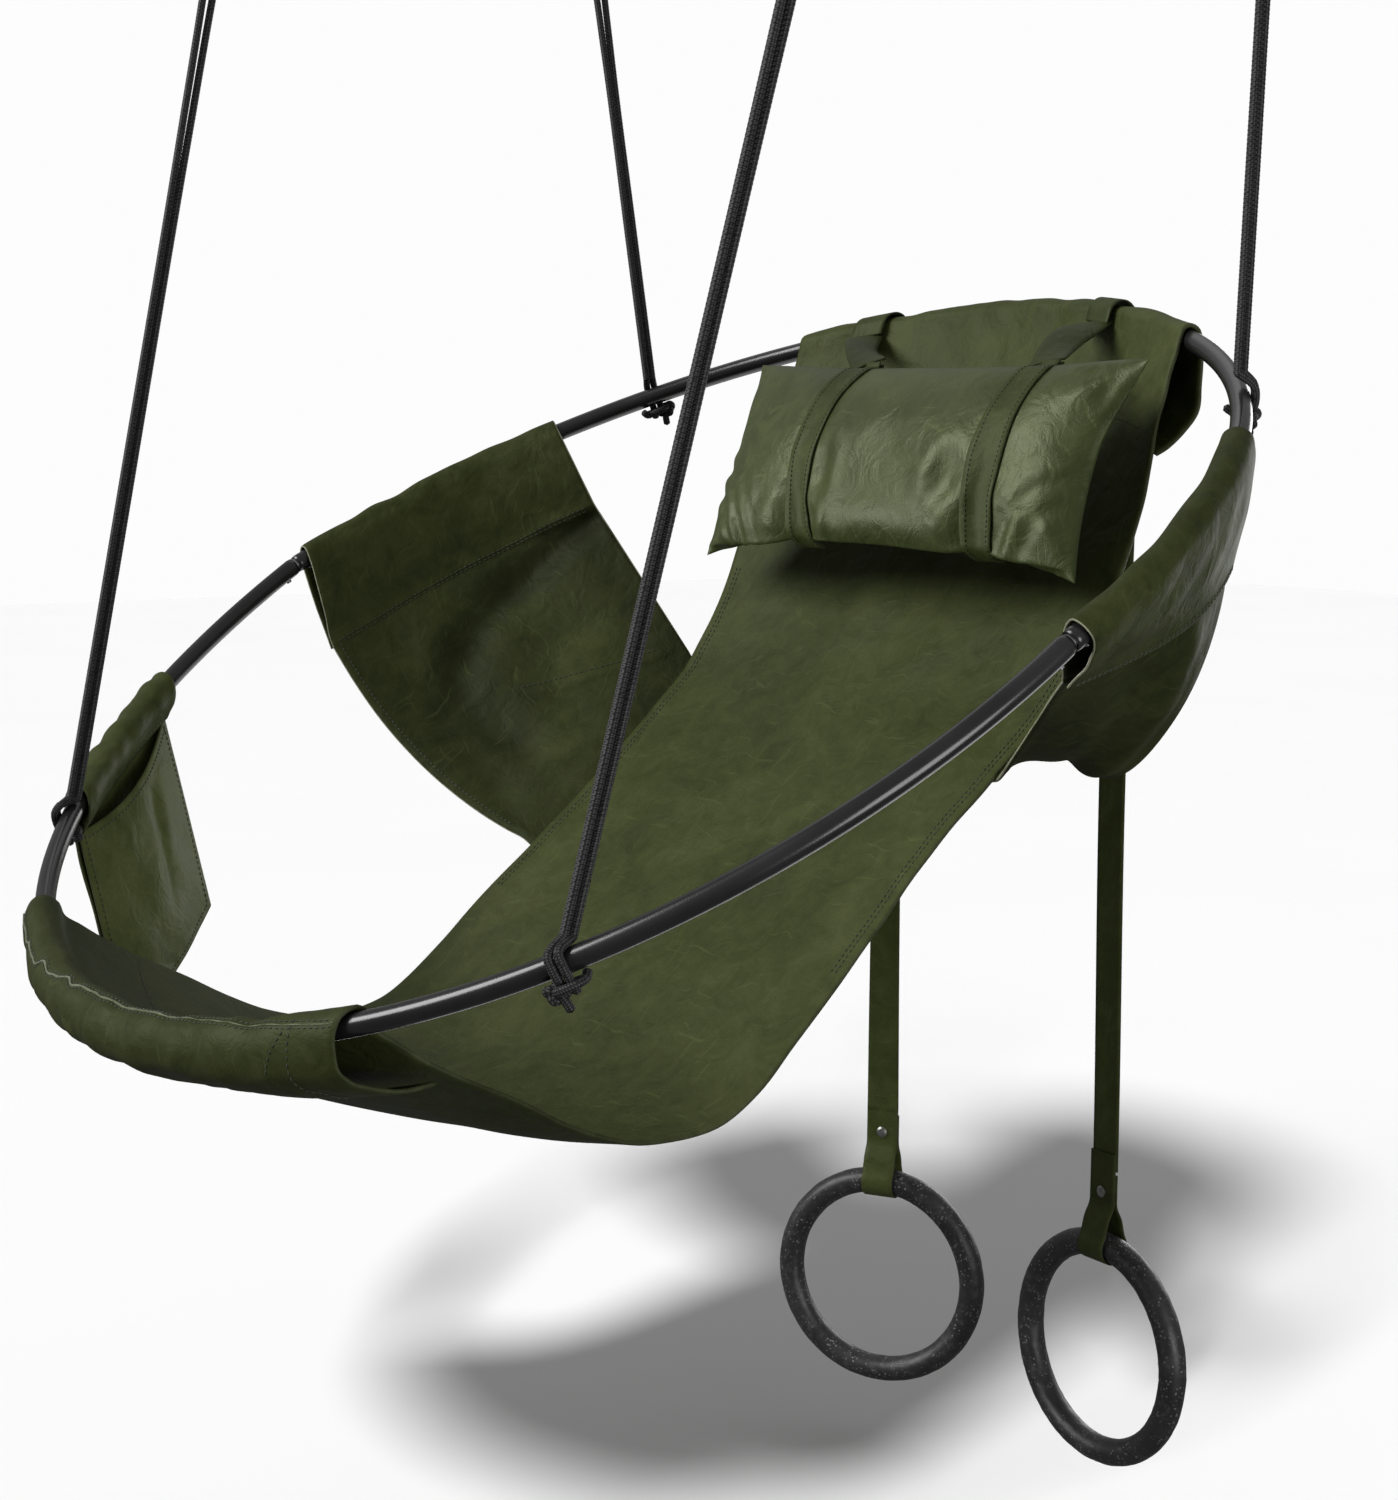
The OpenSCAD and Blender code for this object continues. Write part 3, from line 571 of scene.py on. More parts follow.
def rope_path(sx, sy):
    k = H + hoop(knot_a(sx, sy))
    c = np.array([sx * EYE_X, sy * EYE_Y, EYE_Z + (LIFT if sy > 0 else 0)])
    d = unit(c - k)
    w = unit([0, d[1], d[2]])
    e = np.array([0, -w[2], w[1]])
    a, rb = k + d * 20.2, WIRE_R + CR + 0.6 + (PLAY if sy > 0 else 0)
    q = np.radians(np.arange(0, 181, 7.5))
    over = c + rb * (np.cos(q)[:, None] * e + np.sin(q)[:, None] * w)
    foot = CR + 0.3
    # the doubled cord lies close together below its eye
    near = lambda f: a + (c - a) * f
    left = [near(f) + e * (foot + (rb - foot) * g) for f, g in ((0, 0), (0.3, 0), (0.7, 0.04), (0.88, 0.35), (0.95, 0.75))]
    right = [near(f) - e * (foot + (rb - foot) * g) for f, g in ((0.95, 0.75), (0.88, 0.35), (0.7, 0.04), (0.3, 0), (0, 0))]
    return spline(np.concatenate([left, over, right]), 900), k, d, e


def knot_tubes(sx, sy, k, d, e):
    """The cord ends: down the outer side of the hoop tube, under it, and hitched together with short cut ends."""
    a = knot_a(sx, sy)
    t = unit(hoop(a + 0.5) - hoop(a - 0.5))
    o = unit([hoop(a)[0], hoop(a)[1], 0])
    o = unit(o - t * (o @ t))
    up = np.cross(t, o)
    up = up if up[2] > 0 else -up
    if t @ e < 0:
        t = -t
    g = 1.0 if sx > 0 else -1.0
    w = TR + CR + 0.6
    out = []
    for s in (-1, 1):
        out.append(spline([k + d * 21.5 + s * e * (CR + 0.3), k + o * (w - 1.0) + up * 9 + s * t * 4.4, k + o * w + s * t * 4.4, k + o * (w - 1.4) - up * 9 + s * t * 4.4,
                           k + o * (w - 5) - up * 17 + s * t * 4.2, k + o * (w - 9) - up * 24 + s * t * 4.0], 60))
    # the hitch: one turn round both cords under the tube, closed behind it
    h = np.radians(np.linspace(-60, 330, 90))
    c = k + o * 6.5 - up * 19.0
    out.append(c + 12.2 * np.cos(h)[:, None] * t + (10.6 * np.sin(h))[:, None] * o + (1.8 * np.sin(h * 0.5 + 0.6))[:, None] * up)
    # the lump where the hitch is drawn tight
    u = np.linspace(0, 2 * math.pi, 90, endpoint=False)
    tre = np.stack([np.sin(u) + 2 * np.sin(2 * u), np.cos(u) - 2 * np.cos(2 * u), -1.4 * np.sin(3 * u)], -1)
    c2 = k + o * 9.5 - up * 18.5 + g * t * 12.5
    tr = c2 + 1.95 * (tre[:, :1] * t + tre[:, 1:2] * up * 1.05 + tre[:, 2:] * o)
    out.append(np.concatenate([tr, tr[:2]]))
    # cut ends
    out.append(spline([c2 - up * 3 - g * t * 4, c2 - up * 10 - g * t * 6, c2 - up * 17 - g * t * 7], 24))
    out.append(spline([k + o * 2 - up * 18 - g * t * 8, k - o * 5 - up * 19 - g * t * 11, k - o * 11 - up * 15 - g * t * 13], 24))
    return out


rope_pieces = {}
for sx, sy, tag, body in ((-1, -1, "front_right", "front_ropes"), (1, -1, "front_left", "front_ropes"), (-1, 1, "rear_right", "rear_ropes"), (1, 1, "rear_left", "rear_ropes")):
    path, k, d, e = rope_path(sx, sy)
    V, F, fleck, height, P = braid(path, CR, seed=11 + 3 * sx + sy)
    rope = make("cord_" + tag, V, F, [rope_mat], attrs={"fleck": fleck, "height": height})
    put(rope, body, "rope", "rope_" + tag)
    kv, kf, kfl, kh, n = [], [], [], [], 0
    for i, tube in enumerate(knot_tubes(sx, sy, k, d, e)):
        v, f, fl, hg, _ = braid(tube, CR, step=1.0, sides=16, base=n, seed=40 + i)
        kv.append(v); kf += f; kfl.append(fl); kh.append(hg)
        n += len(v)
    knot = make("tied_end_" + tag, np.concatenate(kv), kf, [rope_mat], attrs={"fleck": np.concatenate(kfl), "height": np.concatenate(kh)})
    put(knot, body, "rope", "knot_" + tag)
    rope_pieces[tag] = (rope, knot)

for tag in ("front_right", "front_left", "rear_right", "rear_left"):
    o = frame["nodes"]["eye_" + tag]
    o.data.materials.clear()
    o.data.materials.append(eye_mat)

# ------------------------------------------------------------------ hoop
for name, a0, a1 in (("hoop_front", 180.12, 359.88), ("hoop_rear", 0.12, 179.88)):
    a = np.linspace(a0, a1, 420)
    P = H + hoop(a)
    r = np.full(len(a), TR)
    r[0], r[-1] = TR - 0.7, TR - 0.7
    ends = np.array([a0 + 0.06, a1 - 0.06])
    V, F = sweep(P, r, 40, ref=(0, 0, 1), cap=False)
    # the ends turn in to the bore
    n = len(V)
    inner = []
    for row, t in ((0, 1), (len(a) - 1, -1)):
        ring = V[row * 40:(row + 1) * 40]
        c = P[row]
        tt = unit(P[1] - P[0]) if row == 0 else unit(P[-2] - P[-1])
        b0 = n + len(inner) * 40
        inner.append(c + (ring - c) * (8.5 / (TR - 0.7)))
        inner.append(c + (ring - c) * (8.5 / (TR - 0.7)) + tt * 14)
        for s in range(40):
            q = (s + 1) % 40
            F.append((row * 40 + s, row * 40 + q, b0 + q, b0 + s))
            F.append((b0 + s, b0 + q, b0 + 40 + q, b0 + 40 + s))
    # the two inner walls are joined, so the tube is closed
    b1, b2 = n + 40, n + 120
    inner_mid = []
    V = np.concatenate([V] + inner)
    for b0, tt, c in ((b1, unit(P[1] - P[0]), P[0]), (b2, unit(P[-2] - P[-1]), P[-1])):
        V = np.concatenate([V, [c + tt * 14]])
        v = len(V) - 1
        for s in range(40):
            F.append((b0 + s, b0 + (s + 1) % 40, v))
    o = make("tube_" + name, V, F, [hoop_mat])
    put(o, "chair", "hoop_steel", name)
for nme, mt in (("spigot_right", steel_mat), ("spigot_left", steel_mat), ("spigot_screws", steel_mat), ("rivet_right", rivet_mat), ("rivet_left", rivet_mat)):
    o = frame["nodes"][nme]
    o.data.materials.clear()
    o.data.materials.append(mt)

# ------------------------------------------------------------------ sling: one strip from the foot sleeve to the head sleeve
NU = 101
U = np.linspace(-1, 1, NU)


def seat_rows(u):
    w = HALF_W[:, None]
    e = np.sqrt(R * R - w * w)
    b = (np.sqrt(R * R - (w * u[None]) ** 2) - e) / (R - e)
    y = PROF[:, :1] + (PROFM[:, :1] - PROF[:, :1]) * b
    z = PROF[:, 1:] + (PROFM[:, 1:] - PROF[:, 1:]) * b
    return H + np.stack([w * u[None], y, z], -1)


foot_ang = 360 - np.degrees(np.arccos(301.6 * U / R))
head_ang = np.degrees(np.arccos(295.8 * U / R))
slack = np.clip((U - 0.4) / 0.6, 0, 1)
rows = [sec(foot_ang, [0, -1, 0], s) - np.array([0, 0, 1.0]) * (s[2] * slack)[:, None] for s in FOOT_SEC[:0:-1]]
n_foot = len(rows)
seat = seat_rows(U)
rows += [seat[i] for i in range(15, 0, -1)]
n_seat = len(rows)
rows += [sec(head_ang, [0, 1, 0], s) for s in HEAD_SEC[1:]]
CTRL = np.array(rows)
d = np.linalg.norm(np.diff(CTRL.reshape(len(CTRL), -1), axis=0), axis=1)
CTRL_S = np.concatenate([[0], np.cumsum(d)]) / d.sum()
NR = 460
SL = spline(CTRL, NR)
row_of = lambda c: np.interp(c, np.arange(len(CTRL)), CTRL_S) * (NR - 1)
N0 = normals(SL)
t_rows = np.arange(NR)
in_foot = 1 - smooth01(t_rows, row_of(n_foot - 4), row_of(n_foot + 1))
in_head = smooth01(t_rows, row_of(n_seat - 1), row_of(n_seat + 3))
in_seat = (1 - in_foot) * (1 - in_head)
side = np.abs(U)
disp = 1.6 * bumps(SL, 170, 3) * in_seat[:, None]
disp += 1.0 * bumps(SL, 70, 4) * (in_seat * 0.6)[:, None]
# the sleeves are loose: cross wrinkles
fw = bumps(SL * np.array([1, 0.25, 0.25]), 62, 5)
disp += (1.5 * fw + 0.9 * bumps(SL, 34, 6) + 1.6 * bumps(SL, 110, 8)) * (in_foot * smooth01(t_rows, 0, row_of(3)) * (1 - smooth01(t_rows, row_of(8), row_of(10))))[:, None]
hw = bumps(SL * np.array([1, 0.2, 0.2]), 90, 7)
disp += (2.2 * hw + 0.8 * bumps(SL, 46, 9)) * in_head[:, None] * (1 - smooth01(t_rows, row_of(len(CTRL) - 4), row_of(len(CTRL) - 2)))[:, None]
SL = SL + N0 * disp[..., None]
NS = normals(SL)
TH = 4.0
# painted light and shade on the sling's colour: foot sleeve darker, head sleeve lighter, seat darker low down and
# lighter higher up
low_seat_painted_ramp = smooth01(t_rows, row_of(n_foot + 1), row_of(n_foot + 8))
sling_painted_light = 0.80 * in_foot + 1.22 * in_head + in_seat * (0.82 + 0.30 * low_seat_painted_ramp)
sling = leaf("sling", SL, TH, [sling_mat, hem_edge_mat], tone=sling_painted_light[:, None])
put(sling, "chair", "sling_leather", "seat_panel", "head_hem", "foot_hem_top", "foot_hem_under")

up_sign = 1.0 if NS[int(row_of(n_foot + 8)), NU // 2][2] > 0 else -1.0
sew = Threads()


def sling_line(rows_, cols_, off=TH / 2, flip=1):
    i, j = np.asarray(rows_, float), np.asarray(cols_, float)
    return on_grid(SL, i, j) + flip * up_sign * on_grid(NS, i, j) * off, flip * up_sign * on_grid(NS, i, j)


c_edge = lambda mm: (NU - 1) / 2 * (1 - (1 - mm / 300.0))
for cols in (c_edge(11), NU - 1 - c_edge(11), c_edge(17), NU - 1 - c_edge(17)):
    i = np.linspace(row_of(n_foot + 7.2), row_of(n_foot + 12.6), 260)
    sew.add(*sling_line(i, np.full(260, cols)))
j = np.linspace(2, NU - 3, 300)
for c in (n_foot - 0.6, n_seat - 0.2):
    sew.add(*sling_line(np.full(300, row_of(c)), j))
# sleeve seam of the foot: a raised welt with a row of stitches on both sides
jj = np.linspace(0.4, NU - 1.4, 420)
far = 1 - smooth01(jj, 20, 60)
welt_c = np.interp(jj / (NU - 1) * 2 - 1, [-1, -0.7, -0.45, -0.2, 0.1, 0.45, 0.8, 1], [5.75, 6.1, 6.9, 7.45, 7.6, 7.5, 6.8, 6.3])
welt_c = np.convolve(np.pad(welt_c, 20, mode="edge"), np.ones(41) / 41, "valid")
wig = far * (0.20 * np.sin(jj * 0.62) + 0.12 * np.sin(jj * 1.13 + 1)) + 0.03 * np.sin(jj * 0.21 + 0.6)
wi = np.array([row_of(c + w) for c, w in zip(welt_c, wig)])
wp, wn = sling_line(wi, jj, off=TH / 2 + 0.5, flip=1)
outer = 1.0
mid_out = (wp[210] - (H + hoop(270.0)))
if wn[210] @ mid_out < 0:
    outer = -1.0
wp, wn = sling_line(wi, jj, off=TH / 2 + 0.35, flip=outer)
WV, WF = sweep(wp, 1.25 + 0.2 * np.sin(jj * 1.7) - 0.8 * smooth01(jj, 56, 80), 10, ref=(0, 0, 1))
welt = make("foot_sleeve_welt", WV, WF, [welt_pale_and_highlight_mat])
put(welt, "chair", "sling_leather")
for dd in (-0.22, 0.24):
    i = np.array([row_of(c + w + dd) for c, w in zip(welt_c, wig)])
    p, n = sling_line(i, jj, off=TH / 2, flip=outer)
    sew.add(p, n)
# cross stitch near the open end of the foot sleeve
for col in (NU - 1 - c_edge(42),):
    i = np.linspace(row_of(1.5), row_of(7.5), 160)
    sew.add(*sling_line(i, np.full(160, col), flip=outer))
i = np.linspace(row_of(4.2), row_of(6.6), 60)
sew.add(*sling_line(i, np.linspace(NU - 1 - c_edge(64), NU - 1 - c_edge(48), 60), flip=outer))
sling_thread = sew.piece("sling_stitching", thread_mat)
put(sling_thread, "chair", "sling_leather")

# ------------------------------------------------------------------ wings
def edge_pt(k, s):
    f = WING_ROWS[k][0] + (WING_ROWS[k][1] - WING_ROWS[k][0]) * np.asarray(s, float)
    i = np.arange(17)
    return np.stack([(-1 if k == 0 else 1) * (np.interp(f, i, HALF_W) + 6), np.interp(f, i, PROF[:, 0]), np.interp(f, i, PROF[:, 1])], -1)


def wing_ang(k, s):
    a = WING_A[0] + (WING_A[1] - WING_A[0]) * np.asarray(s, float)
    return 180 - a if k == 0 else a


def hem_pt(k, s, q):
    s = np.atleast_1d(np.asarray(s, float))
    d0, d1 = unit(WING_FALL[k][0]), unit(WING_FALL[k][1])
    D = unit(d0 + (d1 - d0) * s[:, None])
    a = wing_ang(k, s)
    O = unit(np.cross(unit(hoop(a + 0.5) - hoop(a - 0.5)), D))
    O = O * np.where(O[:, :1] * (-1 if k == 0 else 1) > 0, 1.0, -1.0)
    return hoop(a) + O * q[0] + D * q[1]


def seam_row(s):
    """Place of the lower seam across the right wing."""
    return 9.27 - 4.13 * (np.asarray(s, float) - 0.46) / 0.38


def wing_grid(k, seed):
    ns = 81
    s = np.linspace(0, 1, ns)
    S = s[:, None]
    tt = np.linspace(0.97, 0, 17)
    Fr, Re = (bent([hem_pt(k, e, (0, 105))[0], *WING_PULL[k][e], edge_pt(k, e)], tt) for e in (0, 1))
    T, E = hem_pt(k, s, (0, 105)), edge_pt(k, s)
    dT = T - (T[0] + (T[-1] - T[0]) * S)
    dE = E - (E[0] + (E[-1] - E[0]) * S)
    last = H + E
    rows = []
    inward = 1.0 if k == 0 else -1.0
    for inset, dz in ((46, -7.5), (24, -7.0), (7, -5.5)):
        rows.append(last + np.array([inward * inset, 0, dz]))
    for i, t in enumerate(tt):
        rows.append(H + Fr[i] + (Re[i] - Fr[i]) * S + (1 - t) * dT + t * dE)
    n_panel = len(rows)
    rows += [H + hem_pt(k, s, q) for q in WING_SEC[1:]]
    C = np.array(rows)
    d = np.linalg.norm(np.diff(C.reshape(len(C), -1), axis=0), axis=1)
    cs = np.concatenate([[0], np.cumsum(d)]) / d.sum()
    nr = 230
    G = spline(C, nr)
    ro = lambda c: np.interp(c, np.arange(len(C)), cs) * (nr - 1)
    N = normals(G)
    t = np.arange(nr)
    panel = smooth01(t, ro(3), ro(7)) * (1 - smooth01(t, ro(n_panel - 4), ro(n_panel)))
    hem = smooth01(t, ro(n_panel), ro(n_panel + 2)) * (1 - smooth01(t, ro(len(C) - 4), ro(len(C) - 2)))
    tv, ss = np.linspace(0, 1, nr)[:, None], s[None]
    if k == 0:
        fold = 3.5 * np.exp(-((ss - 0.60 - 0.45 * (tv - 0.4)) / 0.10) ** 2) + 3.0 * np.exp(-((ss - 0.16 - 0.2 * (tv - 0.4)) / 0.07) ** 2)
    else:
        fold = 6.0 * np.exp(-((ss - 0.45 + 0.5 * (tv - 0.4)) / 0.12) ** 2) - 5.0 * np.exp(-((ss - 0.72 + 0.3 * (tv - 0.4)) / 0.09) ** 2)
    D = (fold + 2.0 * bumps(G, 120, seed)) * panel[:, None] + (1.2 * bumps(G, 60, seed + 1)) * hem[:, None]
    D = D * (0.3 + 0.7 * smooth01(np.minimum(ss, 1 - ss), 0, 0.12))
    # the hem is a second layer, sewn down inside
    inside = N[int(ro(n_panel - 1.2)), ns // 2]
    toward = -1.0 if inside @ np.array([-1.0 if k == 0 else 1.0, 0, -0.3]) > 0 else 1.0
    D = D + toward * 1.7 * smooth01(t, ro(n_panel - 1.24), ro(n_panel - 1.14))[:, None]
    # painted light: the hem's colour is made lighter than the panel
    tone = np.ones((nr, ns)) + 0.25 * smooth01(t, ro(n_panel - 1.2), ro(n_panel - 1.1))[:, None]
    if k == 0:
        # painted shade: the panel is made darker towards its rear edge
        tone = tone - 0.3 * smooth01(ss, 0.72, 0.95) * (1 - smooth01(t, ro(n_panel - 2), ro(n_panel - 1)))[:, None]
        line = np.interp(seam_row(s), np.arange(len(C)), cs) * (nr - 1)
        D = D + toward * 1.7 * np.exp(-((t[:, None] - line[None]) / 2.6) ** 2) * smooth01(ss, 0.36, 0.56) * (1 - smooth01(ss, 0.88, 0.94))
        # one long hollow runs from the rear corner of the hem down to the front edge, and its course is painted darker
        # too, as painted shade
        tp = np.interp(t, [ro(3 + q) for q in range(17)], tt)
        X, Y = np.broadcast_to(s[None] * 340, (nr, ns)), np.broadcast_to(tp[:, None] * 450, (nr, ns))
        hollow = np.array([[0.94, 0.07], [0.70, 0.16], [0.45, 0.23], [0.30, 0.35], [0.25, 0.45], [0.31, 0.71]]) * np.array([340, 450])
        far = np.full((nr, ns), 1e9)
        for a, b in zip(hollow[:-1], hollow[1:]):
            u = np.clip(((X - a[0]) * (b[0] - a[0]) + (Y - a[1]) * (b[1] - a[1])) / ((b - a) @ (b - a)), 0, 1)
            far = np.minimum(far, np.hypot(X - a[0] - u * (b[0] - a[0]), Y - a[1] - u * (b[1] - a[1])))
        flat = smooth01(t, ro(3), ro(6))[:, None] * (1 - smooth01(t, ro(n_panel - 1.6), ro(n_panel - 1.2)))[:, None]
        D = D - toward * 11.0 * np.exp(-(far / 34) ** 2) * flat
        tone = tone - 0.42 * np.exp(-(far / 46) ** 2) * flat
        # painted light: round patches across the panel are made lighter
        for cx, cy, rr, am in ((0.71, 0.60, 60, 0.62), (0.45, 0.80, 50, 0.45), (0.42, 0.10, 40, 0.5), (0.62, 0.30, 40, 0.35)):
            tone = tone + am * np.exp(-((X - cx * 340) ** 2 + (Y - cy * 450) ** 2) / rr**2) * flat
    G = G + N * D[..., None]
    return G, ro, n_panel, len(C), tone


for sx, tag, seed in ((-1, "right", 31), (1, "left", 47)):
    G, ro, n_panel, nc, wing_painted_light = wing_grid(0 if sx < 0 else 1, seed)
    thick = np.full(G.shape[:2], 3.4)
    thick[: int(ro(n_panel - 1)), 1:4] = 5.0
    thick[:, 0] = 2.2
    w = leaf("wing_leather_painted_shade_" + tag, G, thick, [wing_shaded_mat, raw_mat], tone=wing_painted_light)
    put(w, "chair", "sling_leather", "wing_" + tag, "wing_hem_" + tag)
    Ng = normals(G)
    th = Threads()
    m = G.shape[1]
    j = np.linspace(1.5, m - 2.5, 200)
    # hem rows on both faces, where the outer layer is sewn down
    inside = on_grid(Ng, np.array([ro(n_panel - 1.2)]), np.array([m / 2]))[0]
    toward = -1.0 if inside @ np.array([sx, 0, -0.3]) > 0 else 1.0
    for c in (n_panel - 1.12, n_panel - 1.30):
        i = np.full(200, ro(c))
        n = on_grid(Ng, i, j) * toward
        th.add(on_grid(G, i, j) + n * 1.7, n)
    for c in (nc - 1.35, nc - 1.7):
        i = np.full(200, ro(c))
        n = on_grid(Ng, i, j)
        outw = 1.0 if n[100] @ np.array([sx, 0, 0]) > 0 else -1.0
        th.add(on_grid(G, i, j) + n * outw * 1.7, n * outw)
    # down the turned front edge, and above the lower seam
    i = np.linspace(ro(4), ro(n_panel - 1), 260)
    n = on_grid(Ng, i, np.full(260, 2.0)) * toward
    th.add(on_grid(G, i, np.full(260, 2.0)) + n * 2.7, n)
    if sx < 0:
        sv = np.linspace(0.44, 0.90, 160)
        i, jv = ro(seam_row(sv)) + 4.0, sv * (m - 1)
        n = on_grid(Ng, i, jv) * toward
        th.add(on_grid(G, i, jv) + n * 1.7, n)
    put(th.piece("wing_stitching_" + tag, thread_mat), "chair", "sling_leather")

# ------------------------------------------------------------------ pillow
def pillow_local(x, s):
    """Edges pull in between the corners, most of all the lower one."""
    pull_s = np.where(s > 0, 0.27, 0.06) * (1 - np.abs(x) ** 2.4)
    pull_x = 0.05 * (1 - np.abs(s) ** 2.0)
    ear = 0.045 * smooth01(x, 0.5, 1.0) * smooth01(-s, 0.1, 1.0)
    return x * (1 - pull_x) + ear, s * (1 - pull_s)


def build_pillow():
    nx, ns = 96, 44
    gx = np.linspace(-1, 1, nx)
    gs = np.linspace(-1, 1, ns)
    gx = 0.55 * gx + 0.45 * np.sin(gx * math.pi / 2)
    gs = 0.45 * gs + 0.55 * np.sin(gs * math.pi / 2)
    x, s = np.meshgrid(gx, gs)
    px, ps = pillow_local(x, s)
    base = PILLOW_C + px[..., None] * np.array([PILLOW[0] / 2 - 1, 0, 0]) + ps[..., None] * BD * (PILLOW[1] / 2 + 3)
    env = np.clip(1 - np.abs(x) ** 3.2, 0, 1) ** 0.62 * np.clip(1 - np.abs(s) ** 2.3, 0, 1) ** 0.6
    over = smooth01(s, 0.1, 0.75) * (1 - smooth01(s, 0.86, 1.0)) * np.clip(1 - np.abs(x) ** 4, 0, 1)
    front = base + BN * (0.5 + 62 * env * (1 + 0.16 * s))[..., None] + BD * (25 * over)[..., None]
    back = base - BN * (0.5 + 40 * env)[..., None]
    k = nx * ns
    edge = np.zeros((ns, nx), bool)
    edge[0] = edge[-1] = True
    edge[:, 0] = edge[:, -1] = True
    bidx = np.arange(k).reshape(ns, nx) + k
    bidx[edge] = np.arange(k).reshape(ns, nx)[edge]
    V = np.concatenate([front.reshape(-1, 3), back.reshape(-1, 3)])
    V[:k][edge.reshape(-1)] = base.reshape(-1, 3)[edge.reshape(-1)]
    F = [tuple(f) for f in grid_faces(ns, nx)]
    for f in grid_faces(ns, nx):
        q = [bidx.reshape(-1)[i] for i in f]
        F.append(tuple(q[::-1]))
    used = np.unique(np.array(F).reshape(-1))
    remap = -np.ones(len(V), int)
    remap[used] = np.arange(len(used))
    F = [tuple(remap[i] for i in f) for f in F]
    return make("pillow_leather", V[used], F, [pillow_mat]), V[used]


pillow, start = build_pillow()


def simulate(o, start, cap):
    c = o.modifiers.new("Cloth", "CLOTH")
    st = c.settings
    st.quality = 6
    st.mass = 0.35
    st.tension_stiffness = 22
    st.compression_stiffness = 16
    st.shear_stiffness = 9
    st.bending_stiffness = 1.6
    st.use_pressure = True
    st.uniform_pressure_force = 4.0
    st.effector_weights.gravity = 0
    sc = bpy.context.scene
    for f in range(1, 21):
        sc.frame_set(f)
    dg = bpy.context.evaluated_depsgraph_get()
    ev = o.evaluated_get(dg)
    co = np.empty(len(o.data.vertices) * 3, np.float32)
    ev.data.vertices.foreach_get("co", co)
    co = co.reshape(-1, 3).astype(float) * 1000
    o.modifiers.clear()
    sc.frame_set(1)
    dv = co - start
    ln = np.linalg.norm(dv, axis=1, keepdims=True)
    return start + dv * np.minimum(1, cap / np.maximum(ln, 1e-9))


PV = simulate(pillow, start, 6.0)


def shape_pillow(V):
    """The two bands nip the pillow and pull puckers at its lower seam."""
    q = V - PILLOW_C
    x, s, n = q[:, 0].copy(), q @ BD, q @ BN
    f = n > 0
    sn = s / (PILLOW[1] / 2)
    low = smooth01(sn, 0.0, 0.75)
    for xb in BAND_X:
        g = np.exp(-((x - xb) / 27.0) ** 2)
        n = n * (1 - g * np.where(f, 0.10 + 0.26 * low, 0.1))
        s = s - 9.0 * g * smooth01(sn, 0.3, 0.9)
        for dx, wd, am in ((-36, 12, 2.6), (34, 12, 2.4), (-60, 13, -1.8), (56, 13, -1.6)):
            ray = np.exp(-((x - xb - dx * (0.45 + 0.75 * low)) / wd) ** 2)
            n = n + np.where(f, am, -0.4 * am) * ray * low * (1 - smooth01(np.abs(sn), 0.62, 0.95)) * smooth01(np.abs(n), 2, 14)
    # deep dents beside the bands, with a raised rim
    for dx, ds, wx, ws, am in ((BAND_X[0] + 38, 36, 14, 32, -8.0), (BAND_X[1] - 44, 30, 17, 25, -7.5), (BAND_X[1] + 32, 72, 12, 18, -7.0), (BAND_X[0] + 30, 80, 11, 15, -6.5)):
        r = np.hypot((x - dx) / wx, (s - ds) / ws)
        n = n + np.where(f, am * (np.exp(-r * r) - 0.3 * np.exp(-((r - 1.7) / 0.6) ** 2)), 0) * smooth01(n, 4, 20)
    n = n + np.where(f, 1.0, 0.6) * (1.5 * bumps(V, 95, 61) + 0.3 * bumps(V, 38, 62) * (0.3 + 0.7 * low)) * smooth01(np.abs(n), 1, 20)
    # creases run in from the four corners
    for sx in (-1, 1):
        for ss in (-1, 1):
            cx, cs = (x - sx * 290) * -sx, (s - ss * 112) * -ss
            r, an = np.hypot(cx, cs), np.arctan2(cs, cx)
            n = n + np.where(f, 1, -0.5) * 1.8 * np.sin(an * 8.0 + sx) * np.exp(-((r - 46) / 30) ** 2) * smooth01(np.abs(n), 1, 12)
            if ss > 0:
                # slack folds lie in arcs round the lower corners
                n = n + np.where(f, 1, 0) * (3.8 if sx < 0 else 1.4) * np.cos(r / 27.0 * 2 * math.pi + 0.8 * np.sin(an * 3)) * np.exp(-((r - 84) / 34) ** 2) * smooth01(n, 3, 16)
    n = np.where(n < -46, -46 - 6 * np.tanh((-46 - n) / 6), n)
    n = np.where(n > 62, 62 + 10 * np.tanh((n - 62) / 10), n)
    return PILLOW_C + x[:, None] * np.array([1.0, 0, 0]) + s[:, None] * BD + n[:, None] * BN


PV = shape_pillow(PV)
pillow.data.vertices.foreach_set("co", (PV * 0.001).astype(np.float32).reshape(-1))
pillow.data.update()
sub = pillow.modifiers.new("Subdivision", "SUBSURF")
sub.levels = sub.render_levels = 1
put(pillow, "pillow", "sling_leather", "pillow_cover", "pillow_filling")
bvh = BVHTree.FromPolygons([Vector(v) for v in PV], [tuple(p.vertices) for p in pillow.data.polygons])


def pillow_skin(x, s, sign):
    """Height of the pillow's face over its own plane."""
    o = PILLOW_C + np.array([x, 0, 0]) + BD * s + BN * sign * 150
    hit = bvh.ray_cast(Vector(o), Vector(-BN * sign))
    return None if hit[0] is None else float((np.array(hit[0]) - PILLOW_C) @ BN)


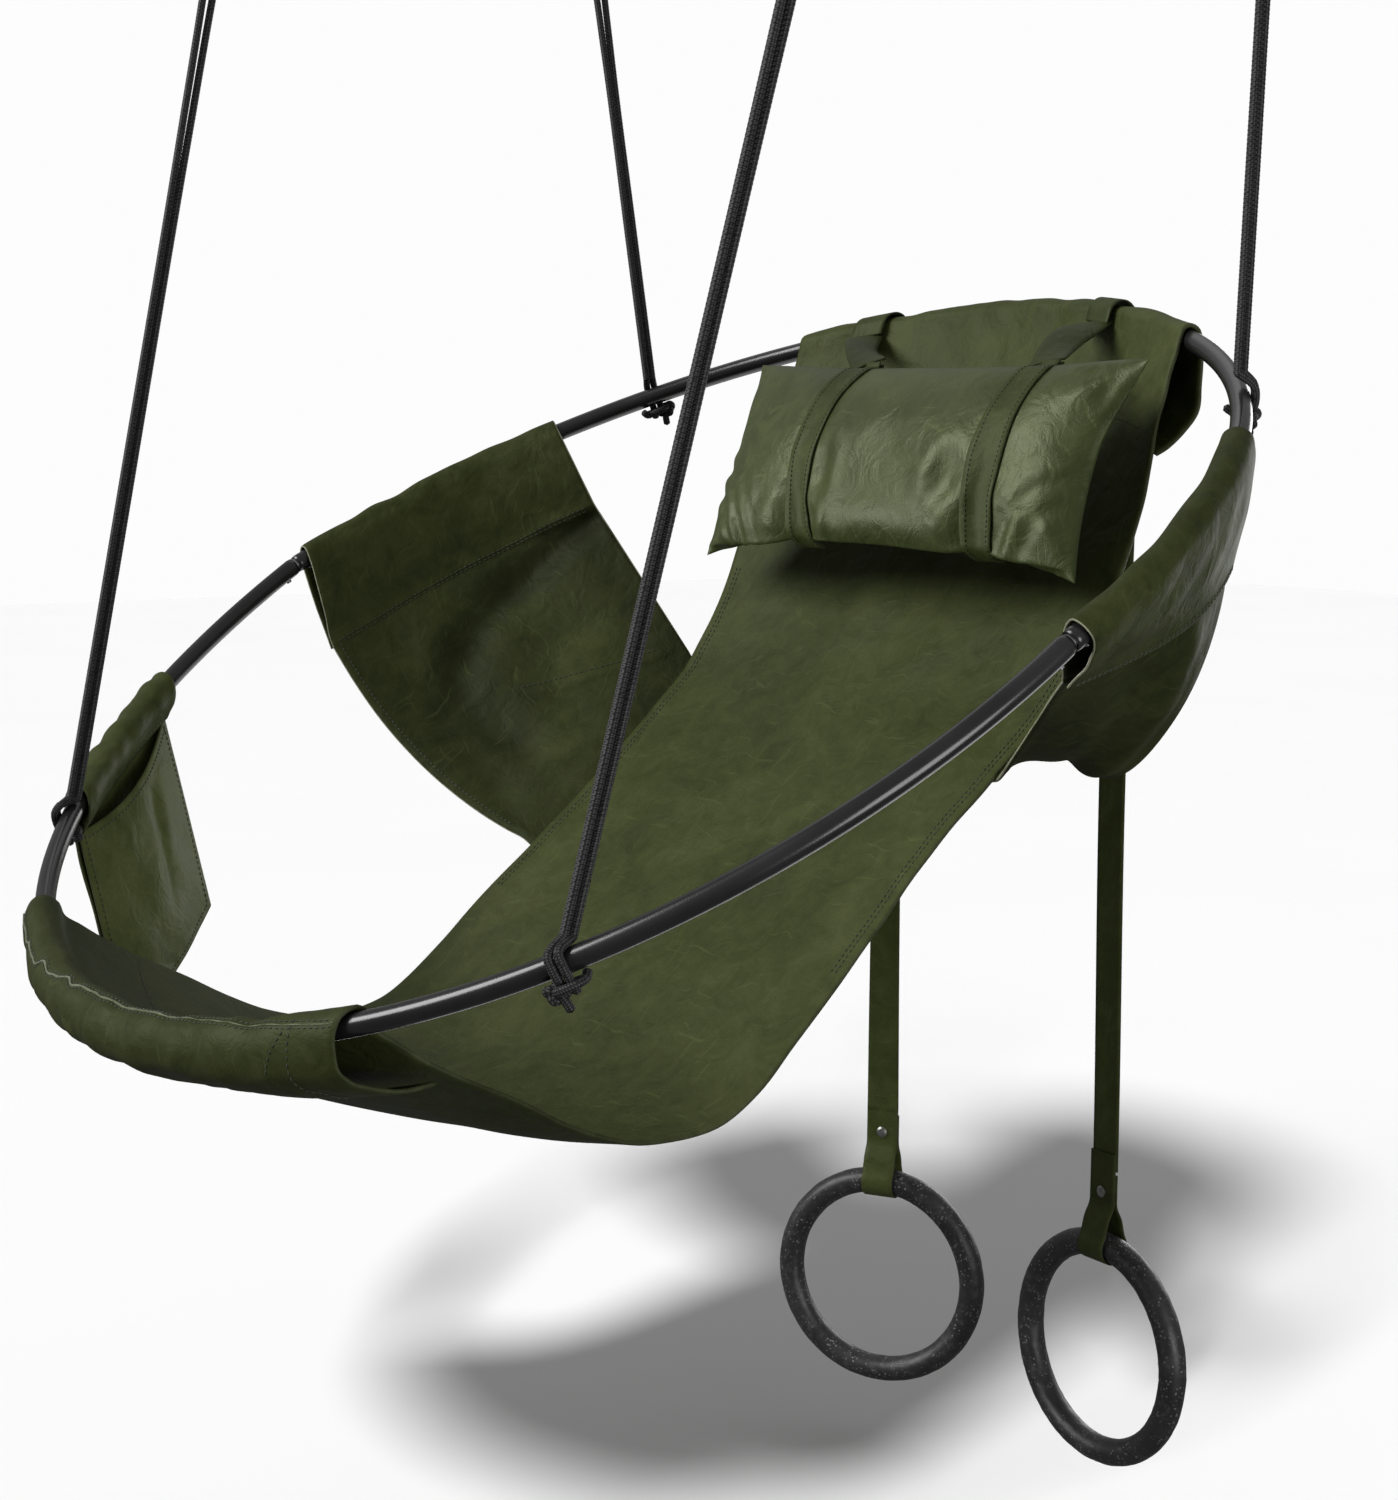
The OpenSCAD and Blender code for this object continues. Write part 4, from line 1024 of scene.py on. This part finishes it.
# ------------------------------------------------------------------ bands and straps
def ribbon(name, C, W, N, width, th, mats, cup=0.0, tone=1.0):
    """A strap along centre points C, across directions W, with thickness along N."""
    e = np.linspace(-1, 1, 9)
    P = C[:, None] + e[None, :, None] * (np.asarray(width) / 2 * np.ones(len(C)))[:, None, None] * W[:, None] + (cup * (e**2))[None, :, None] * N[:, None]
    return leaf(name, P, th, mats, tone=tone), P


ST = 2.3
for k, tag in ((0, "right"), (1, "left")):
    xb, xs = BAND_X[k], STRAP_X[k]
    # band: up the front, round the bottom and up behind, closed at the top
    smax = max(s for s in np.linspace(60, 125, 131) if pillow_skin(xb, s, 1) is not None)
    smin = min(s for s in np.linspace(-125, -60, 131) if pillow_skin(xb, s, 1) is not None)
    cols = []
    for e in np.linspace(-1, 1, 7):
        xx = xb + e * STRAP_W / 2
        fr = [(s, pillow_skin(xx, s, 1)) for s in np.linspace(smin + 2, smax - 2, 26)]
        bk = [(s, pillow_skin(xx, s, -1)) for s in np.linspace(smax - 2, smin + 2, 26)]
        fr = [(s, n + ST / 2 + 0.5) for s, n in fr if n is not None]
        bk = [(s, max(n - ST / 2 - 0.3, -56)) for s, n in bk if n is not None]
        loop = [(smin - 3, 1.5)] + fr + [(smax + 4.0, 0.0)] + bk + [(smin - 3, -3.5)]
        loop = np.array(loop)
        pts = PILLOW_C + np.array([xx, 0, 0]) + loop[:, :1] * BD + loop[:, 1:] * BN
        cols.append(spline(pts, 150))
    G = np.stack(cols, 1)
    band = leaf("pillow_band_leather_" + tag, G, ST, [strap_mat, edge_mat])
    put(band, "pillow", "strap_leather", "pillow_band_" + tag)
    Nb = normals(G)
    th = Threads()
    for col in (0.75, 5.25):
        i = np.linspace(2, 147, 300)
        j = np.full(300, col)
        n = on_grid(Nb, i, j)
        cen = on_grid(G, i, j) - PILLOW_C - np.array([xb, 0, 0])
        sg = np.where((n * cen).sum(1) > 0, 1.0, -1.0)[:, None]
        th.add(on_grid(G, i, j) + n * sg * ST / 2, n * sg, pitch=5.0, length=3.4, r=0.45)
    put(th.piece("band_stitching_" + tag, thread_mat), "pillow", "strap_leather")

    # front strap: from the band's top to the hoop, turned a little on its way
    top_a = math.degrees(math.acos(xs / R))
    a = PILLOW_C + np.array([xb, 0, 0]) + BD * (smin - 2) + BN * 1.0
    b = sec(top_a, [0, 1, 0], [-23, 4])
    t = np.linspace(0, 1, 60)
    C = a + (b - a) * t[:, None] + BN * (9 * np.sin(math.pi * t))[:, None]
    T = unit(np.gradient(C, axis=0))
    W0 = np.array([1.0, 0, 0])
    Wd = unit(W0 - T * (T @ W0)[:, None])
    Nd = np.cross(T, Wd)
    tw = np.radians(26) * np.sin(math.pi * t)
    Wt = Wd * np.cos(tw)[:, None] + Nd * np.sin(tw)[:, None]
    o, G = ribbon("strap_front_leather_" + tag, C, Wt, np.cross(T, Wt), STRAP_W - 3 * np.sin(math.pi * t), ST, [strap_mat, edge_mat], cup=1.6)
    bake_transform(o)
    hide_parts("strap_front_" + tag)

    # over the hoop
    bend = np.array([[-23, 4], [-20.6, -3], [-17, -11.5], [-8, -18.5], [0, -20], [8, -18.5], [17, -11.5], [20.6, -2], [22.6, 3]])
    cols = []
    for e in np.linspace(-1, 1, 9):
        aa = math.degrees(math.acos((xs + e * STRAP_W / 2) / R))
        cols.append(spline(np.array([sec(aa, [0, 1, 0], q) for q in bend]), 60))
    G = np.stack(cols, 1)
    o = leaf("strap_bend_leather_" + tag, G, ST, [strap_mat, edge_mat])
    put(o, "chair", "strap_leather", "strap_bend_" + tag)

    # rear strap, hanging to its ring
    hang = sec(top_a, [0, 1, 0], [23.6, 0])
    ring_c = np.array([hang[0], hang[1], H[2] + RING_Z[k]])
    ring_top = ring_c + np.array([0, 0, RING_OD / 2 - RING_T / 2])
    z0, z1 = hang[2] - 3, ring_top[2] + RIVET_UP + 26
    t = np.linspace(0, 1, 170)
    yaw = np.radians(RING_YAW[k] * np.clip((t - 0.2) / 0.8, 0, 1))
    C = np.stack([np.full(170, hang[0]) + 1.6 * np.sin(t * 7.0 + k), np.full(170, hang[1]) + 1.2 * np.sin(t * 5 + 2 * k), z0 + (z1 - z0) * t], -1)
    C[:, :2] -= (C[0, :2] - hang[:2]) * (1 - t)[:, None]
    Wd = np.stack([np.cos(yaw), np.sin(yaw), 0 * yaw], -1)
    # painted light: the rear strap's colour is made lighter than the other straps
    o, G = ribbon("strap_rear_leather_" + tag, C, Wd, unit(np.cross(Wd, [0, 0, 1.0])), STRAP_W, ST, [strap_mat, edge_mat], cup=0.7, tone=1.8 if k else 1.5)
    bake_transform(o)
    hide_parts("strap_rear_" + tag)

    # end loop: down one side, round the ring, up the other and riveted
    y = math.radians(RING_YAW[k])
    ex, ey = np.array([math.cos(y), math.sin(y), 0]), np.array([-math.sin(y), math.cos(y), 0])
    lr = RING_T / 2 + 3.0
    ang = np.radians(np.linspace(150, 390, 40))
    loop = [(-1.6, RIVET_UP + 44), (-1.6, RIVET_UP + 22), (-1.7, RIVET_UP), (-2.4, RIVET_UP - 15), (-9, 31)]
    loop += [(lr * math.cos(q), lr * math.sin(q)) for q in ang]
    loop += [(9, 31), (2.4, RIVET_UP - 15), (1.7, RIVET_UP), (1.7, RIVET_UP + 21)]
    L = spline(np.array(loop), 170)
    C = ring_top + L[:, :1] * ey + L[:, 1:] * np.array([0, 0, 1.0])
    T = unit(np.gradient(C, axis=0))
    # painted light: the strap end's colour is made lighter as well
    o, G = ribbon("strap_end_leather_" + tag, C, np.tile(ex, (170, 1)), np.cross(T, ex), STRAP_W, 2.2, [strap_mat, edge_mat], tone=1.4)
    put(o, tag + "_strap_end", "strap_leather", "strap_end_" + tag)

    # ring
    u = np.linspace(0, 2 * math.pi, 241)[:-1]
    v = np.linspace(0, 2 * math.pi, 41)[:-1]
    rm, rt = RING_OD / 2 - RING_T / 2, RING_T / 2
    uu, vv = np.meshgrid(u, v, indexing="ij")
    base = np.stack([(rm + rt * np.cos(vv)) * np.cos(uu), rt * np.sin(vv), (rm + rt * np.cos(vv)) * np.sin(uu)], -1)
    rough = 0.22 * bumps(base, 18, 71 + k) + 0.12 * bumps(base, 7, 75 + k)
    rr = rt + np.minimum(rough, 0.25) - 0.25
    base = np.stack([(rm + rr * np.cos(vv)) * np.cos(uu), rr * np.sin(vv), (rm + rr * np.cos(vv)) * np.sin(uu)], -1)
    P = ring_c + base[..., :1] * ex + base[..., 1:2] * ey + base[..., 2:] * np.array([0, 0, 1.0])
    nu, nv = P.shape[:2]
    i, j = np.meshgrid(np.arange(nu), np.arange(nv), indexing="ij")
    F = np.stack([i * nv + j, ((i + 1) % nu) * nv + j, ((i + 1) % nu) * nv + (j + 1) % nv, i * nv + (j + 1) % nv], -1).reshape(-1, 4)
    o = make("weight_ring_" + tag, P.reshape(-1, 3), F, [ring_mat])
    put(o, tag + "_ring", "ring_black", "ring_" + tag)

# ------------------------------------------------------------------ pocket
PM = hoop((POCKET_A[0] + POCKET_A[1]) / 2)
PK_IN = -unit([PM[0], PM[1], 0])
PK_DROP = np.array([241, 242, 243, 243, 242, 241, 240], float)
PK_LIP = np.array([32, 38, 42, 43, 42, 38, 32], float)
PK_LEAN = 0.32
kk = np.linspace(0, 1, 61)
pk_line = H + hoop(POCKET_A[0] + (POCKET_A[1] - POCKET_A[0]) * kk)
drop = spline(np.stack([np.linspace(0, 250, 7), PK_DROP], -1), 61)[:, 1]
lip = spline(np.stack([np.linspace(0, 250, 7), PK_LIP], -1), 61)[:, 1]
down = np.array([0, 0, -1.0])
# the back: up behind the hoop, over it and down inside to the hem
back_sec = [[-9, 27], [-14.6, 14], [-16.8, 0], [-11.8, -12.2], [0, -17], [11.8, -12.2], [16.8, 0], [14.6, 14], [8, 27], [5, 33]]
rows = []
for q in np.linspace(1, 0.02, 7):
    z = 31 + (drop - 31) * q
    rows.append(pk_line + PK_IN * (-7 - 5 * q + PK_LEAN * (z - 27))[:, None] + down * z[:, None])
rows += [pk_line + PK_IN * s[0] + down * s[1] for s in back_sec]
G = spline(np.array(rows), 170)
N = normals(G)
t = np.arange(170)
D = 2.0 * bumps(G, 70, 81) * (smooth01(t, 4, 30) * (1 - smooth01(t, 96, 112)))[:, None] + 1.4 * bumps(G * np.array([1, 1, 0.3]), 30, 82) * smooth01(t, 112, 130)[:, None] * (1 - smooth01(t, 158, 168))[:, None]
G = G + N * D[..., None]
# painted light: the pocket's back is the sling leather made lighter
o = leaf("pocket_leather_back", G, 2.4, [sling_mat, edge_mat], tone=1.25)
put(o, "pocket", "sling_leather", "pocket_sleeve", "pocket_back")
Nb = normals(G)
th = Threads()
j = np.linspace(1, 59, 120)
i = np.full(120, 164.0)
n = on_grid(Nb, i, j)
n = n * np.where((n @ PK_IN) > 0, 1.0, -1.0)[:, None]
th.add(on_grid(G, i, j) + n * 1.2, n)
# the front: an open lip that stands away, sewn to the back at its sides and bottom
q = np.linspace(0, 1, 60)[:, None]
b = np.sin(math.pi * kk)[None]
stand = -3 - 5 * q + b * (22 - 8 * q + 12 * np.sin(math.pi * q)) + 1.5 * (1 - q)
deep = lip[None] + (drop - lip)[None] * q
G = pk_line[None] + PK_IN * (stand + PK_LEAN * (deep - 27))[..., None] + down * deep[..., None]
N = normals(G)
G = G + N * ((1.8 * bumps(G, 80, 83) + 5.0 * np.exp(-((kk[None] - 0.36 - 0.1 * q) / 0.06) ** 2) * (1 - smooth01(q, 0.35, 0.9))) * b * smooth01(q, 0.02, 0.2))[..., None]
# painted light: the pocket's front is made lighter still
o = leaf("pocket_leather_front", G, 2.4, [sling_mat, edge_mat], tone=1.7)
put(o, "pocket", "sling_leather", "pocket_front")
Nf = normals(G)
sgn = 1.0 if Nf[30, 30] @ PK_IN > 0 else -1.0
for jj_ in (2.2, 57.8):
    i = np.linspace(1, 58, 150)
    j = np.full(150, jj_)
    th.add(on_grid(G, i, j) + sgn * on_grid(Nf, i, j) * 1.2, sgn * on_grid(Nf, i, j))
i, j = np.full(150, 57.0), np.linspace(2, 58, 150)
th.add(on_grid(G, i, j) + sgn * on_grid(Nf, i, j) * 1.2, sgn * on_grid(Nf, i, j))
i = np.full(150, 2.4)
th.add(on_grid(G, i, j) + sgn * on_grid(Nf, i, j) * 1.2, sgn * on_grid(Nf, i, j))
put(th.piece("pocket_stitching", thread_mat), "pocket", "sling_leather")

# ------------------------------------------------------------------ stage, light, camera
scene = bpy.context.scene
FLOOR_Z = -1.86


def floor_material():
    m, nt, b = new_mat("studio_floor")
    co = nd(nt, "ShaderNodeTexCoord").outputs["Object"]
    nz = nd(nt, "ShaderNodeTexNoise", {"Vector": co, "Scale": 1.2, "Detail": 3.0}).outputs["Fac"]
    nt.links.new(ramp(nt, nz, [(0.3, (0.878, 0.878, 0.878)), (0.7, (0.89, 0.89, 0.89))]), b.inputs["Base Color"])
    b.inputs["Roughness"].default_value = 0.7
    b.inputs["Specular IOR Level"].default_value = 0.2
    return m


me = bpy.data.meshes.new("floor")
fx = np.linspace(-14, 14, 29)
gx, gy = np.meshgrid(fx, fx)
fv = np.stack([gx, gy, np.full_like(gx, FLOOR_Z)], -1).reshape(-1, 3)
me.from_pydata(fv.tolist(), [], [tuple(int(c) for c in f) for f in grid_faces(29, 29)])
me.materials.append(floor_material())
floor = bpy.data.objects.new("floor", me)
scene.collection.objects.link(floor)

world = bpy.data.worlds.new("studio")
scene.world = world
world.use_nodes = True
wt = world.node_tree
bg = wt.nodes["Background"]
bg.inputs["Color"].default_value = (1, 1, 1, 1)
wz = nd(wt, "ShaderNodeSeparateXYZ", {0: nd(wt, "ShaderNodeTexCoord").outputs["Generated"]}).outputs["Z"]
wt.links.new(nd(wt, "ShaderNodeMapRange", {"Value": wz, "From Min": -0.25, "From Max": 0.45, "To Min": 0.11, "To Max": 0.27}).outputs["Result"], bg.inputs["Strength"])
seen = wt.nodes.new("ShaderNodeBackground")
seen.inputs["Color"].default_value = (0.98, 0.98, 0.98, 1)
seen.inputs["Strength"].default_value = 1.0
lp = wt.nodes.new("ShaderNodeLightPath")
mx = wt.nodes.new("ShaderNodeMixShader")
wt.links.new(lp.outputs["Is Camera Ray"], mx.inputs[0])
wt.links.new(bg.outputs[0], mx.inputs[1])
wt.links.new(seen.outputs[0], mx.inputs[2])
wt.links.new(mx.outputs[0], wt.nodes["World Output"].inputs["Surface"])

AZ, EL, ROLL = math.radians(52.732), math.radians(7.093), math.radians(0.504)
CAM = Vector((2.128, -1.610, -0.641))
right0 = Vector((math.cos(AZ), math.sin(AZ), 0))
back = Vector((math.sin(AZ) * math.cos(EL), -math.cos(AZ) * math.cos(EL), math.sin(EL)))
up0 = back.cross(right0)
cr_, sr_ = math.cos(ROLL), math.sin(ROLL)
right, up = right0 * cr_ + up0 * sr_, up0 * cr_ - right0 * sr_
cam_d = bpy.data.cameras.new("camera")
cam_d.sensor_fit = "AUTO"
cam_d.sensor_width = 36.0
cam_d.lens = 2669.2 / 1500.0 * 36.0
cam_d.clip_end = 60
cam = bpy.data.objects.new("camera", cam_d)
scene.collection.objects.link(cam)
cam.matrix_world = Matrix(((right.x, up.x, back.x, CAM.x), (right.y, up.y, back.y, CAM.y), (right.z, up.z, back.z, CAM.z), (0, 0, 0, 1)))
scene.camera = cam


def area(name, pos, target, size, power):
    l = bpy.data.lights.new(name, "AREA")
    l.shape = "RECTANGLE"
    l.size, l.size_y = size
    l.energy = power
    o = bpy.data.objects.new(name, l)
    scene.collection.objects.link(o)
    dvec = Vector(target) - Vector(pos)
    o.matrix_world = Matrix.Translation(pos) @ dvec.to_track_quat("-Z", "Y").to_matrix().to_4x4()
    return o


mid = Vector((0, -0.1, -0.9))


def sun_light(name, energy, angle, way):
    l = bpy.data.lights.new(name, "SUN")
    l.energy, l.angle = energy, math.radians(angle)
    o = bpy.data.objects.new(name, l)
    scene.collection.objects.link(o)
    o.matrix_world = Vector(way).to_track_quat("-Z", "Y").to_matrix().to_4x4()
    return o


# the floor has its own light, so that its shadow lies as on the studio floor and its glare stays off the leather
floor.visible_diffuse = False
floor.visible_glossy = False
only_floor = bpy.data.collections.new("lit_floor")
only_floor.objects.link(floor)
not_floor = bpy.data.collections.new("lit_object")
not_floor.objects.link(floor)
not_floor.collection_objects[0].light_linking.link_state = "EXCLUDE"
floor_key = sun_light("floor_key", 4.4, 9, (-0.72, 1.0, -1.0))
floor_key.light_linking.receiver_collection = only_floor
no_rings = bpy.data.collections.new("shading_floor")
for n_, name in enumerate(("weight_ring_right", "weight_ring_left", "strap_end_leather_right", "strap_end_leather_left")):
    no_rings.objects.link(bpy.data.objects[name])
    no_rings.collection_objects[n_].light_linking.link_state = "EXCLUDE"
floor_key.light_linking.blocker_collection = no_rings
lamps = [sun_light("key", 2.6, 34, (0.42, 0.86, -0.60)),
         area("soft_low", Vector((-1.5, -1.45, -0.92)), Vector((0.05, 0.25, -0.75)), (1.5, 0.8), 24),
         area("side_fill", Vector((3.0, -0.1, -1.1)), Vector((0, 0, -0.95)), (1.6, 1.2), 36),
         area("soft_back", mid - back * 2.0 + Vector((0, 0, 2.4)), mid, (2.4, 0.8), 3),
         area("rear_fill", Vector((-0.8, 3.0, -0.7)), Vector((0, 0.2, -0.9)), (2.0, 1.5), 30)]
for l in lamps:
    l.light_linking.receiver_collection = not_floor
head_only = bpy.data.collections.new("lit_pillow")
for name in ("pillow_leather", "pillow_band_leather_right", "pillow_band_leather_left"):
    head_only.objects.link(bpy.data.objects[name])
lamps[1].light_linking.receiver_collection = head_only
# the pale floor shines on the underside of the black steel
steel_only = bpy.data.collections.new("lit_steel")
for name in ("tube_hoop_front", "tube_hoop_rear"):
    steel_only.objects.link(bpy.data.objects[name])
area("floor_shine", Vector((-0.6, 0.6, -1.8)), Vector((0, 0, -0.8)), (3.2, 1.6), 18).light_linking.receiver_collection = steel_only

scene.view_settings.view_transform = "Standard"
scene.view_settings.look = "None"
